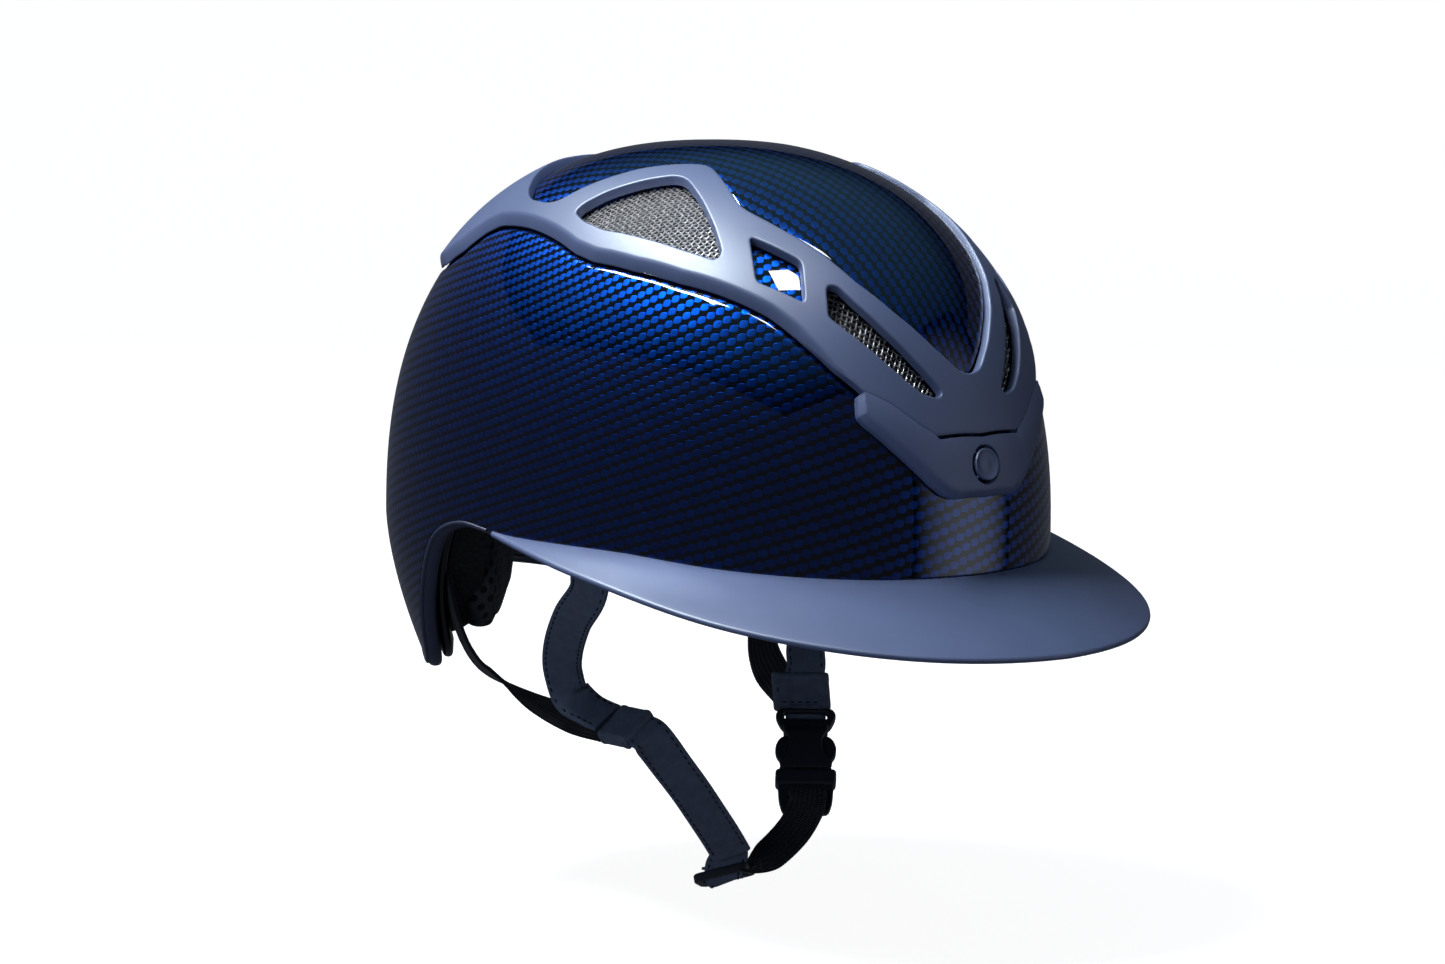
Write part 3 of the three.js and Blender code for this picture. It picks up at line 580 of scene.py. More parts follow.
def leather_material():
    material, tree, shader = new_material("navy_leather")
    cells = tree.nodes.new("ShaderNodeTexVoronoi")
    cells.inputs["Scale"].default_value = 1300
    tree.links.new(place_vector(tree), cells.inputs["Vector"])
    wrinkle = noise(tree, 260, 4)
    pattern = math_node(tree, "ADD", cells.outputs["Distance"], wrinkle)
    tint = map_range(tree, wrinkle, 0.35, 0.65, 0, 1)
    paint(tree, shader, Base_Color=mix_colour(tree, tint, (0.080, 0.100, 0.155), (0.100, 0.124, 0.190)),
          Roughness=map_range(tree, pattern, 0.5, 1.3, 0.44, 0.62))
    bump(tree, shader, pattern, 0.16, 0.5)
    return material


def webbing_material():
    """Black tape woven in ribs: the weave coordinates run across and along it."""
    material, tree, shader = new_material("black_webbing")
    rib_width, pick_length = 1.9, 1.1
    x, y = weave_vector(tree, 0)
    rib = math_node(tree, "DIVIDE", x, rib_width)
    side = math_node(tree, "MULTIPLY", math_node(tree, "FLOOR", rib), 0.5)
    pick = math_node(tree, "ADD", math_node(tree, "DIVIDE", y, pick_length), side)
    arches = [math_node(tree, "SINE", math_node(tree, "MULTIPLY", math_node(tree, "FRACT", value), math.pi))
              for value in (rib, pick)]
    height = math_node(tree, "MULTIPLY", *arches)
    # The colour follows the weave's height and is darker down in the hollows between ribs and picks: painted
    # shade of the relief.
    paint(tree, shader, Base_Color=mix_colour(tree, height, (0.003, 0.003, 0.005), (0.012, 0.014, 0.022)),
          Roughness=map_range(tree, height, 0, 1, 0.9, 0.68))
    shader.inputs["Sheen Weight"].default_value = 0.12
    bump(tree, shader, height, 0.35, 0.7)
    return material


def perforated_material(name, pitch, hole, spread):
    """Spacer fabric with rows of round holes. The weave coordinates are millimetres along and up the pad."""
    material, tree, shader = new_material(name)
    base = (0.024, 0.025, 0.032)
    squares = []
    for value in weave_vector(tree, 45):
        off = math_node(tree, "MULTIPLY", from_middle(tree, math_node(tree, "DIVIDE", value, pitch)), pitch)
        squares.append(math_node(tree, "MULTIPLY", off, off))
    far = math_node(tree, "SQRT", math_node(tree, "ADD", *squares))
    solid = map_range(tree, far, hole / 2 - spread, hole / 2 + spread, 0, 1, smooth=True)
    thread = noise(tree, 2400, 2)
    fabric = mix_colour(tree, thread, base, tuple(3.0 * c for c in base))
    # The holes are painted near-black: painted shade inside the perforations, set against the fabric's own
    # colour.
    paint(tree, shader, Base_Color=mix_colour(tree, solid, (0.001, 0.001, 0.0012), fabric))
    shader.inputs["Roughness"].default_value = 0.85
    shader.inputs["Sheen Weight"].default_value = 0.15
    height = math_node(tree, "ADD", solid, math_node(tree, "MULTIPLY", thread, 0.25))
    bump(tree, shader, height, 0.8, 0.8)
    return material


def foam_material():
    """Moulded bead foam: flattened cells with fine seams between them."""
    material, tree, shader = new_material("bead_foam")
    cells = tree.nodes.new("ShaderNodeTexVoronoi")
    cells.feature = "DISTANCE_TO_EDGE"
    cells.inputs["Scale"].default_value = 330
    tree.links.new(place_vector(tree), cells.inputs["Vector"])
    seam = map_range(tree, cells.outputs["Distance"], 0, 0.12, 0, 1, smooth=True)
    paint(tree, shader, Base_Color=mix_colour(tree, seam, (0.004, 0.004, 0.005), (0.016, 0.016, 0.018)))
    shader.inputs["Roughness"].default_value = 0.8
    bump(tree, shader, seam, 0.25, 0.5)
    return material


CARBON = carbon_material()
NAVY = satin_material("satin_navy", (0.098, 0.130, 0.252), (0.112, 0.147, 0.280))
TRIM = satin_material("trim_rubber", (0.028, 0.037, 0.075), (0.036, 0.046, 0.088), 0.40)
PLASTIC = satin_material("black_plastic", (0.014, 0.016, 0.024), (0.020, 0.023, 0.033), 0.36, 0.05)
GLOSS = gloss_material()
WIRE_SILVER = wire_material("silver_wire", (0.78, 0.73, 0.71), (0.98, 0.93, 0.91))
WIRE_DARK = wire_material("dark_wire", (0.08, 0.08, 0.085), (0.42, 0.40, 0.39))
LEATHER = leather_material()
THREAD = satin_material("dark_thread", (0.002, 0.005, 0.012), (0.004, 0.009, 0.020), 0.7)
WEBBING = webbing_material()
PAD_HOLES = perforated_material("perforated_pad", 5.0, 3.0, 0.45)
PAD_MESH = perforated_material("mesh_pad", 2.6, 1.3, 0.3)
FOAM = foam_material()


# Dome pieces

crown_edge = smooth_outline(both_sides(CROWN_OPENING), 0.55, 5)
frame_edge = smooth_outline(both_sides(FRAME_OUTSIDE + [from_ahead(x, z) for x, z in PLATE_TOP]), 0.5, 2)
plate_bottom = [from_ahead(x, z) for x, z in PLATE_BOTTOM]
plate_top = [from_ahead(x, z - (1.4 if x < 21 else -0.3)) for x, z in PLATE_TOP]
plate_edge = smooth_outline(both_sides(plate_bottom + plate_top), 0.35, 1)
plate_low = np.array(mirrored(plate_bottom)[::-1] + plate_bottom)
plate_high = np.array(plate_top + mirrored(plate_top)[::-1])
windows = {"rear_vent_mesh": smooth_outline(both_sides(REAR_WINDOW), 0.45, 5)}
diamonds = []
for side, flip in (("left", list), ("right", mirrored)):
    windows["side_vent_mesh_" + side] = smooth_outline(flip(SIDE_WINDOW), 0.45, 5)
    windows["front_vent_mesh_" + side] = smooth_outline(flip(FRONT_WINDOW), 0.4, 3)
    diamonds.append(smooth_outline(flip(DIAMOND_WINDOW), 0.4, 4))


def side_weave(uv):
    """Weave coordinates that follow the shell's sides: forwards on the wearer's right, and up."""
    along = np.arctan2(uv[:, 0], uv[:, 1]) * WEAVE_RADIUS
    fall = np.radians(np.hypot(uv[:, 0], uv[:, 1])) * WEAVE_RISE
    return np.stack([along, -fall - WEAVE_TILT * along], axis=1)


def crown_weave(uv):
    return np.stack([uv[:, 1], uv[:, 0]], axis=1) * MM_PER_DEGREE


def make_shell():
    azimuth = np.linspace(-180, 180, 300, endpoint=False)
    fall = angle_at_height(SHELL, azimuth, edge_height(azimuth) - SHELL_RIM["below_edge"])
    outer = np.stack([fall * np.sin(np.radians(azimuth)), fall * np.cos(np.radians(azimuth))], axis=1)
    seam = grow(crown_edge, 1.65)
    holes = [seam] + [grow(outline, 0.7) for outline in windows.values()]
    groove_rows = (0.0, 0.2, 0.4, 0.6, 0.8, 1.0, 1.2, 1.4, 1.7)

    def top(uv, depth):
        out = np.where(inside(uv, frame_edge), 0, mm_to(uv, [frame_edge]))
        groove = SHELL_GROOVE["depth"] * fade(out, SHELL_GROOVE["width"]) ** 2
        return -groove - SHELL_RIM["fall"] * rounding(mm_to(uv, [outer]), SHELL_RIM["width"])

    return dome_plate("shell", outer, holes, top, flat(-SHELL_THICKNESS), 1.7, [0.15, 0.35, 0.65, 1.2],
                      side_weave, [(frame_edge, groove_rows)], wrap=(WEAVE_TURN, -WEAVE_TILT * WEAVE_TURN))


def make_crown():
    def top(uv, depth):
        across = 1 - (uv[:, 0] / CROWN_BULGE["half_width"]) ** 2
        along = 1 - ((uv[:, 1] - CROWN_BULGE["middle"]) / CROWN_BULGE["half_length"]) ** 2
        bulge = CROWN_BULGE["height"] * np.maximum(0, np.minimum(across, along))
        return bulge - CROWN_RIM["fall"] * rounding(depth, CROWN_RIM["width"])

    return dome_plate("crown", grow(crown_edge, -0.12), [], top, flat(-SHELL_THICKNESS), 1.1,
                      [0.1, 0.25, 0.45, 0.7, 0.95], crown_weave)


def make_vent_frame():
    holes = [crown_edge] + list(windows.values()) + diamonds

    def top(uv, depth):
        start, end = FRAME_SKIRT["front_start"], FRAME_SKIRT["front_end"]
        low_front = np.clip((uv[:, 1] - start) / (end - start), 0, 1)
        width = FRAME_SKIRT["width"] - FRAME_SKIRT["narrower"] * low_front
        fall = (FRAME_PROUD - FRAME_SKIRT["foot"]) * (1 - FRAME_SKIRT["flatter"] * low_front)
        skirt = fall * fade(mm_to(uv, [frame_edge]), width) ** FRAME_SKIRT["power"]
        return FRAME_PROUD - skirt - FRAME_LIP["fall"] * rounding(mm_to(uv, holes), FRAME_LIP["width"])

    return dome_plate("vent_surround", frame_edge, holes, top, flat(GAP), 0.95,
                      [0.06, 0.14, 0.26, 0.42, 0.65, 0.95, 1.3, 1.7], crown_weave, sharp=50)


def make_front_plate():
    u, v = from_ahead(0, BADGE["height"])
    turn = np.linspace(0, 2 * np.pi, 48, endpoint=False)
    radius = (BADGE["radius"] + PLATE_RING["gap"]) / MM_PER_DEGREE
    squash = 1 / math.sin(math.radians(v)) * math.radians(v)
    ring = np.stack([u + radius * squash * np.cos(turn), v + radius * np.sin(turn)], axis=1)

    def top(uv, depth):
        from_bottom = mm_to(uv, [plate_low], closed=False)
        from_top = mm_to(uv, [plate_high], closed=False)
        bevel = PLATE_BEVEL["fall"] * fade(from_bottom, PLATE_BEVEL["width"])
        slope = PLATE_TOP_SLOPE["fall"] * fade(from_top, PLATE_TOP_SLOPE["width"]) ** 2
        rim = PLATE_RIM["fall"] * rounding(from_bottom, PLATE_RIM["width"])
        lip = PLATE_RING["fall"] * rounding(mm_to(uv, [ring]), PLATE_RING["width"])
        return PLATE_PROUD - bevel - slope - rim - lip

    return dome_plate("front_shield", plate_edge, [ring], top, flat(GAP), 0.9,
                      [0.06, 0.14, 0.26, 0.5, 0.85, 1.2, 1.7], crown_weave, sharp=50)


def tube_faces(count, sides, start=0):
    """Faces of a capped tube of count rings of points, numbered from start."""
    faces = []
    for k in range(count - 1):
        for i in range(sides):
            j = (i + 1) % sides
            a = start + k * sides
            faces.append((a + i, a + j, a + sides + j, a + sides + i))
    faces.append(tuple(start + i for i in range(sides))[::-1])
    faces.append(tuple(start + (count - 1) * sides + i for i in range(sides)))
    return faces


def revolve(profile, steps=64):
    """Points and faces of a profile of (radius, height) turned about Z."""
    turn = np.linspace(0, 2 * np.pi, steps, endpoint=False)
    points = [(r * math.cos(a), r * math.sin(a), z) for r, z in profile for a in turn]
    return np.array(points), tube_faces(len(profile), steps)


def make_badge():
    """Plain round badge: a raised rim round a shallow dish with a small dome."""
    profile = [(5.9, 0), (6, 1.3), (5.8, 1.6), (5.2, 1.6), (4.9, 1.25), (3, 1.2), (2.2, 1.3), (1.2, 1.5),
               (0.4, 1.58)]
    points, faces = revolve(profile)
    u, v = from_ahead(0, BADGE["height"])
    d = direction(v, u)
    rotation = Vector((0, 0, 1)).rotation_difference(Vector(d)).to_matrix()
    base = d * (float(dome_radius(SHELL, d)) + PLATE_PROUD - 0.3 - BADGE["thickness"] / 2)
    points = points @ np.array(rotation).T + base
    return make_object("round_badge", points, faces, sharp=50)


finish_piece(make_shell(), "root", CARBON, ["outer_shell"])
finish_piece(make_crown(), "root", CARBON, ["crown_panel"])
finish_piece(make_vent_frame(), "root", NAVY, ["vent_frame"])
finish_piece(make_front_plate(), "root", NAVY, ["front_plate"])
finish_piece(make_badge(), "root", NAVY, ["front_badge"])


# Woven vent meshes

MESH_DEPTH = 1.6
WIRE_SIDES = 5


def woven_mesh(name, outline, pitch, radius, turn):
    """Plain-woven wires that fill an outline, a little below the dome's surface."""
    area_edge = grow(outline, 0.5)
    centre = area_edge.mean(axis=0)
    reach = np.abs(area_edge - centre).max() * 1.5
    step = pitch / MM_PER_DEGREE
    c, s = math.cos(math.radians(turn)), math.sin(math.radians(turn))
    count = int(reach / step) + 1
    points, faces, total = [], [], 0
    for family in (0, 1):
        for k in range(-count, count + 1):
            along = np.arange(-2 * count, 2 * count + 1) * 0.5
            line = np.stack([along * step, np.full(len(along), k * step)], axis=1)
            if family:
                line = line[:, ::-1]
            x, y = line[:, 0], line[:, 1]
            uv = centre + np.stack([x * c - y * s, x * s + y * c], axis=1)
            wave = np.cos(np.pi * (along + k + family)) * radius
            keep = inside(uv, area_edge)
            runs = np.flatnonzero(np.diff(np.concatenate([[0], keep.astype(int), [0]])))
            for begin, end in zip(runs[::2], runs[1::2]):
                if end - begin < 3:
                    continue
                middle = at_uv(uv[begin:end], -MESH_DEPTH + wave[begin:end])
                along_wire = unit(np.gradient(middle, axis=0))
                side_way = unit(np.cross(along_wire, unit(middle)))
                out = np.cross(side_way, along_wire)
                ring = [middle + radius * (math.cos(a) * side_way + math.sin(a) * out)
                        for a in np.arange(WIRE_SIDES) * 2 * np.pi / WIRE_SIDES]
                points.append(np.stack(ring, axis=1).reshape(-1, 3))
                faces += tube_faces(end - begin, WIRE_SIDES, total)
                total += WIRE_SIDES * (end - begin)
    return make_object(name, np.vstack(points), faces, sharp=70)


for name, outline in windows.items():
    is_front = name.startswith("front")
    pitch, radius = (2.1, 0.34) if is_front else (1.85, 0.27)
    piece = woven_mesh(name.replace("vent_mesh", "grille"), outline, pitch, radius, 45 if is_front else 12)
    finish_piece(piece, "root", WIRE_DARK if is_front else WIRE_SILVER, [name])


# Swept bodies

def sweep(name, rings, sharp=40):
    """Body through rings of points, each an array of the same size."""
    rings = np.asarray(rings)
    count, size = rings.shape[:2]
    faces = tube_faces(count, size)
    points = rings.reshape(-1, 3)
    middle = rings.mean(axis=1)
    sample = faces[len(faces) // 3]
    a, b, c = (points[sample[k]] for k in range(3))
    if np.dot(np.cross(b - a, c - a), a - middle[sample[0] // size]) < 0:
        faces = [tuple(reversed(f)) for f in faces]
    return make_object(name, points, faces, sharp=sharp)


def brim_rings():
    rings = []
    for azimuth in np.linspace(-BRIM["end"], BRIM["end"], 111):
        along = max(0.0, math.cos(math.radians(azimuth * 90 / BRIM["end"])))
        reach = BRIM["reach"] * along ** BRIM["reach_power"]
        drop = BRIM["drop"] * along ** BRIM["drop_power"] - BRIM["lift"] * reach
        height = float(edge_height(azimuth)) - GAP
        root = on_dome(SHELL, angle_at_height(SHELL, azimuth, height), azimuth)
        out = np.array([root[0], root[1], 0]) / math.hypot(root[0], root[1])
        half = BRIM["thickness"] / 2
        arch = 0.03 * reach
        section = [(-5.0, 0.0)]
        for t in np.linspace(0, 1, 14):
            section.append((0.6 + (reach + 0.4 - 0.8) * t, drop * t - 4 * arch * t * (1 - t)))
        for turn in np.radians(np.arange(-60, 91, 30)):
            section.append((reach - 0.2 + half * math.cos(turn), drop + half + half * math.sin(turn)))
        for t in np.linspace(1, 0, 10)[1:]:
            section.append((-1 + (reach + 0.6) * t, drop * t - 4 * arch * t * (1 - t) + 2 * half))
        section.append((-5.0, 2 * half))
        rings.append([root + out * side + np.array([0, 0, -down]) for side, down in section])
    return np.array(rings)


def edge_path(start, step=1.0):
    azimuth = np.arange(start, 360 - start + step / 2, step)
    point = on_dome(SHELL, angle_at_height(SHELL, azimuth, edge_height(azimuth)), azimuth)
    along = unit(np.gradient(point, axis=0))
    out = square_to(direction(np.full(len(azimuth), 90.0), azimuth), along)
    return point, out, np.cross(along, out)


def edge_strip(name, section, start, sharp=35):
    """Strip along the shell's lower edge round the back, its section (outwards, downwards) from the edge."""
    point, out, down = edge_path(start)
    rings = np.stack([point + out * o + down * d for o, d in section], axis=1)
    return sweep(name, rings, sharp=sharp)


brim = sweep("brim_panel", brim_rings(), sharp=60)
finish_piece(brim, "root", NAVY, ["brim"])

TRIM_SECTION = [
    (-0.35, 0.45), (0.1, 0.9), (0.15, 1.5), (-0.25, 2.1), (-0.9, 2.3), (-1.15, 2.15), (-1.5, 2.5),
    (-2.2, 3.0), (-3.4, 3.35), (-4.8, 3.2), (-5.7, 2.8), (-6.2, 2.2), (-6.4, 1.2), (-6.4, 0.45),
]
finish_piece(edge_strip("edge_binding", TRIM_SECTION, 90), "root", TRIM, ["edge_trim"])
COVER_SECTION = [
    (-6.9, -7.4), (-6.9, -1.6), (-7.3, -0.9), (-8.1, -0.4), (-9.2, -0.3), (-10.2, -0.8), (-10.8, -2.0),
    (-11, -7.4),
]
cover = edge_strip("gloss_inner_cover", COVER_SECTION, 98, 60)
finish_piece(cover, "root", GLOSS, ["rear_inner_cover"])


# Straps: rows of x, y, z in millimetres and the direction that the strap's outer face looks towards

STRAP_ROWS = {
    "front_strap_right": [
        (-97.8, -42.3, 6, -0.92, -0.4, 0), (-97.6, -42, -6, -0.92, -0.4, 0),
        (-95, -38.5, -18, -0.9, -0.44, 0), (-88.4, -21.6, -31.6, -0.85, -0.5, -0.2),
        (-80.3, -7.1, -45.7, -0.82, -0.55, -0.3), (-73, 1.2, -55.9, -0.8, -0.55, -0.3),
        (-66.4, 3.8, -66, -0.7, -0.3, 0.45), (-61.6, -2.5, -71.8, -0.5, 0.1, 0.8),
        (-60, -10.6, -73.9, -0.5, 0.1, 0.86)],
    "rear_strap_right": [
        (-91, 51, 4, -0.87, 0.49, 0), (-91, 51, -10, -0.87, 0.49, 0), (-90.5, 51, -22, -0.87, 0.49, 0),
        (-89, 50.3, -32, -0.87, 0.45, 0), (-86, 50, -41, -0.8, 0.4, -0.2),
        (-80.5, 50.5, -51, -0.7, 0.3, -0.3), (-73, 50, -60, -0.6, 0.2, -0.5),
        (-66, 42, -67, -0.3, 0.1, -0.8), (-61, 28.3, -73.6, 0.1, 0.1, -0.9),
        (-58, 7.8, -78, 0.45, 0, -0.85), (-57.8, -10.8, -78.4, 0.57, 0, -0.82)],
    "front_strap_left": [
        (97.8, -42.3, 6, 0.92, -0.4, 0), (97.6, -42, -6, 0.92, -0.4, 0), (95, -38.5, -18, 0.9, -0.44, 0),
        (85, -25, -33, 0.85, -0.3, 0.1), (73, -11, -46, 0.75, -0.1, 0.1), (61, 3, -57, 0.62, 0.5, -0.3),
        (56.7, -0.6, -66.4, 0.59, 0.63, -0.5), (53.6, -1.6, -74.5, 0.59, 0.63, -0.5)],
    "rear_strap_left": [
        (91, 51, 4, 0.87, 0.49, 0), (91, 51, -10, 0.87, 0.49, 0), (90, 51, -25, 0.87, 0.45, 0),
        (86, 50.5, -41, 0.8, 0.4, 0), (78, 47, -54, 0.7, 0.3, 0.2), (69, 38, -64.5, 0.65, 0.4, 0.1),
        (61.5, 25, -72, 0.6, 0.5, -0.2), (55.8, 10.4, -77.3, 0.6, 0.6, -0.4),
        (52.6, 3.6, -79.1, 0.6, 0.6, -0.5)],
    "chin_strap": [
        (-58.6, -22, -76.2, -0.55, -0.1, 0.8), (-57.6, -30.4, -77.6, -0.5, -0.45, 0.6),
        (-54.8, -32, -81.2, -0.6, -0.65, 0.2), (-46, -33.1, -91.8, -0.55, -0.75, -0.3),
        (-37.3, -33.2, -101.5, -0.52, -0.74, -0.44),
        (-27, -31.5, -112.5, -0.5, -0.72, -0.47), (-17.8, -29.7, -122.3, -0.45, -0.7, -0.55),
        (-9.2, -27.4, -131.6, -0.4, -0.66, -0.64)],
    "chin_webbing": [
        (-1, -23.5, -139, -0.1, 0.3, 0.9), (3.5, -27.5, -137, -0.2, -0.2, 0.95),
        (8.5, -30.5, -133.6, -0.3, -0.5, 0.8), (16.4, -34, -126, -0.5, -0.5, 0.7),
        (24, -32.5, -120.5, -0.6, -0.5, 0.6), (30.5, -29, -116, -0.6, -0.6, 0.5),
        (34.9, -25.2, -111.6, -0.6, -0.6, 0.5)],
}
ADJUSTER_FOLD = [
    (-12.4, -26.9, -125.8, -0.45, -0.7, -0.55), (-8.2, -24.6, -132.6, -0.5, -0.6, -0.45),
    (-7.0, -20.6, -139.2, -0.7, -0.45, -0.4), (-6.0, -19.6, -143.0, -0.5, -0.45, -0.7),
    (-3.4, -18.8, -144.6, 0, -0.444, -0.879), (-0.9, -17.2, -143.4, 0.8, 0.3, -0.5),
    (-1.2, -16.0, -140.4, 0.6, 0.5, 0.6), (-4.6, -17.6, -137.9, 0.175, 0.444, 0.879),
    (-8.6, -19.6, -136.3, 0.1, 0.5, 0.86)]
LEATHER_SIZE = (16.0, 2.2)
WEBBING_SIZE = (15.0, 1.6)
FOLD_SIZE = (15.4, 1.3)
STITCH = dict(pitch=3.2, length=2.1, radius=0.3, from_edge=1.7, sunk=0.05, groove=0.22, groove_width=0.45)


def strap_frames(rows, steps):
    """Points along a strap with its directions along, across and out of its outer face."""
    t = np.linspace(0, 1, steps + 1)
    rows = np.asarray(rows, float)
    point = catmull(rows[:, :3], t)
    along = unit(np.gradient(point, axis=0))
    out = square_to(catmull(rows[:, 3:], t), along)
    return point, along, np.cross(along, out), out


def ribbon_section(width, thickness, groove):
    """Half-round edges, and a shallow groove under each row of stitches when groove isn't 0."""
    half, radius = width / 2, thickness / 2
    a = np.linspace(-half + radius, half - radius, 19)
    lift = radius - groove * np.exp(-((np.abs(a) - half + STITCH["from_edge"]) / STITCH["groove_width"]) ** 2)
    turn = np.radians([60, 30, 0, -30, -60])
    right = [(half - radius + radius * math.cos(b), radius * math.sin(b)) for b in turn]
    left = [(-x, -y) for x, y in right]
    return list(zip(a, lift)) + right + list(zip(a[::-1], -lift[::-1])) + left


def stitch_bodies(frames, size, faces=(1, -1)):
    """Points and faces of the stitches along both edges of a strap, on its outer and inner face."""
    point = frames[0]
    run = run_length(point)
    places = np.arange(STITCH["pitch"], run[-1] - STITCH["pitch"], STITCH["pitch"])
    point, along, across, out = (np.stack([np.interp(places, run, rows[:, k]) for k in range(3)], axis=1)
                                 for rows in frames)
    shape = [(-0.5, 0.15), (-0.36, 0.85), (0, 1.0), (0.36, 0.85), (0.5, 0.15)]
    angles = np.arange(6) * math.pi / 3
    all_points, all_faces = [], []
    for edge in (-1, 1):
        for face in faces:
            to_side = edge * (size[0] / 2 - STITCH["from_edge"])
            to_face = face * (size[1] / 2 - STITCH["sunk"])
            centre = point + across * to_side + out * to_face
            for i in range(len(places)):
                start = len(all_points)
                for share, fat in shape:
                    middle = centre[i] + along[i] * share * STITCH["length"]
                    r = STITCH["radius"] * fat
                    all_points += [middle + r * (math.cos(a) * across[i] + math.sin(a) * out[i])
                                   for a in angles]
                all_faces += tube_faces(len(shape), len(angles), start)
    return all_points, all_faces


def merge_bodies(name, bodies, coordinates=None, sharp=40):
    """One object from several (points, faces, material number)."""
    points, faces, numbers = [], [], []
    for body_points, body_faces, number in bodies:
        start = sum(len(p) for p in points)
        points.append(np.asarray(body_points))
        faces += [tuple(i + start for i in face) for face in body_faces]
        numbers += [number] * len(body_faces)
    stacked = np.vstack(points)
    uv = None
    if coordinates is not None:
        uv = np.zeros((len(stacked), 2))
        uv[:len(coordinates)] = coordinates
    obj = make_object(name, stacked, faces, uv, sharp)
    obj.data.polygons.foreach_set("material_index", numbers)
    return obj


def strap_piece(name, rows, size, stitched):
    frames = strap_frames(rows, max(40, 8 * len(rows)))
    point, _, across, out = frames
    section = np.array(ribbon_section(*size, STITCH["groove"] if stitched else 0))
    rings = point[:, None] + across[:, None] * section[None, :, :1] + out[:, None] * section[None, :, 1:]
    uv = np.stack(np.broadcast_arrays(section[None, :, 0], run_length(point)[:, None]), axis=-1)
    faces = [face[:1] + face[:0:-1] for face in tube_faces(len(rings), len(section))]
    bodies = [(rings.reshape(-1, 3), faces, 0)]
    if stitched:
        bodies.append((*stitch_bodies(frames, size), 1))
    piece = merge_bodies(name, bodies, uv.reshape(-1, 2), 50)
    piece.data.materials.append(LEATHER if stitched else WEBBING)
    if stitched:
        piece.data.materials.append(THREAD)
    return piece


# For each hanging strap, a row number; the place of that row is read below but not used
HANG_END = {"front_strap_right": 6, "front_strap_left": 5, "rear_strap_right": 9, "rear_strap_left": 7}
for name in HANG_END:
    leather = name.startswith("front")
    size = LEATHER_SIZE if leather else WEBBING_SIZE
    rows = STRAP_ROWS[name]
    piece = strap_piece(name.replace("strap", "hanger"), rows, size, leather)
    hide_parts(name)
    start, end = Vector(rows[1][:3]) * MM, Vector(rows[HANG_END[name]][:3]) * MM
    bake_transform(piece)

chin = strap_piece("chin_leather", STRAP_ROWS["chin_strap"], LEATHER_SIZE, True)
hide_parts("chin_strap")
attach(chin, "harness")
tape_rows = STRAP_ROWS["chin_webbing"]
tape = strap_piece("chin_tape", tape_rows, WEBBING_SIZE, False)
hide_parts("chin_webbing")
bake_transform(tape)


# Moulded pieces, drawn flat and thickened with rounded edges

def frame_at(place, across, along):
    x = unit(np.array(across, float))
    y = np.array(along, float)
    y = unit(y - x * np.dot(y, x))
    return np.array(place, float), np.stack([x, y, np.cross(x, y)])


def round_corners(outline, radius, steps=4):
    p = np.asarray(outline, float)
    result = []
    for i in range(len(p)):
        before, after = p[i - 1] - p[i], p[(i + 1) % len(p)] - p[i]
        reach = min(radius, 0.45 * np.linalg.norm(before), 0.45 * np.linalg.norm(after))
        a = p[i] + before / np.linalg.norm(before) * reach
        b = p[i] + after / np.linalg.norm(after) * reach
        for t in np.linspace(0, 1, steps):
            result.append((1 - t) ** 2 * a + 2 * t * (1 - t) * p[i] + t * t * b)
    return np.array(result)


def moulding(outlines, low, high, bevel, radius=1.0):
    """Points and faces of a flat piece between two heights, from its outside and then any holes in it."""
    data = bpy.data.curves.new("outline", "CURVE")
    data.dimensions = "2D"
    data.fill_mode = "BOTH"
    data.extrude = (high - low) / 2 - bevel
    data.bevel_depth = bevel
    data.bevel_resolution = 2
    data.offset = -bevel
    for number, outline in enumerate(outlines):
        rounded = round_corners(outline, radius)
        if (area(rounded) > 0) != (number > 0):
            rounded = rounded[::-1]
        spline = data.splines.new("POLY")
        spline.points.add(len(rounded) - 1)
        for point, (x, y) in zip(spline.points, rounded):
            point.co = (x, y, 0, 1)
        spline.use_cyclic_u = True
    curve = bpy.data.objects.new("outline", data)
    bpy.context.collection.objects.link(curve)
    bpy.context.view_layer.update()
    mesh = bpy.data.meshes.new_from_object(curve)
    points = vertex_places(mesh) + np.array([0, 0, (high + low) / 2])
    faces = [tuple(p.vertices) for p in mesh.polygons]
    bpy.data.objects.remove(curve)
    bpy.data.meshes.remove(mesh)
    return points, faces


def box_outline(x0, y0, x1, y1):
    return [(x0, y0), (x1, y0), (x1, y1), (x0, y1)]


def moulded_piece(name, frame_of_piece, bodies, seams=(), sharp=35):
    """Plastic or leather bodies, and seams of stitches in the second material, put into the piece's place."""
    place, axes = frame_of_piece
    numbered = [(body, 0) for body in bodies] + [(seam, 1) for seam in seams]
    placed = [(np.asarray(points) @ axes + place, faces, number) for (points, faces), number in numbered]
    return merge_bodies(name, placed, sharp=sharp)


def seam_row(start, end, height, face=1):
    """Row of stitches from start to end, (x, y), on a face at that height."""
    start, end = np.array([*start, height * face]), np.array([*end, height * face])
    t = np.linspace(0, 1, 12)[:, None]
    along = unit(end - start)
    out = np.array([0, 0, float(face)])
    same = [np.tile(way, (len(t), 1)) for way in (along, np.cross(along, out), out)]
    size = (2 * STITCH["from_edge"], 2 * STITCH["sunk"])
    return stitch_bodies((start + (end - start) * t, *same), size, faces=(1,))


BUCKLE = frame_at((47.9, -9.8, -84.4), (0.73, -0.684, 0), (-0.33, -0.387, -0.862))
KEEPER = frame_at((55.2, 0.6, -69.6), (0.73, -0.684, 0), (-0.33, -0.387, -0.862))
DIVIDER = frame_at((-59.2, -11.9, -76), (0.8, 0, 0.6), (0.02, -1, 0))
ADJUSTER = frame_at((-4.4, -18.4, -141.8), (0.52, -0.8, 0.3), (0.62, 0.35, -0.3))
HALF_DEPTH = 4.4
WALL = 1.7

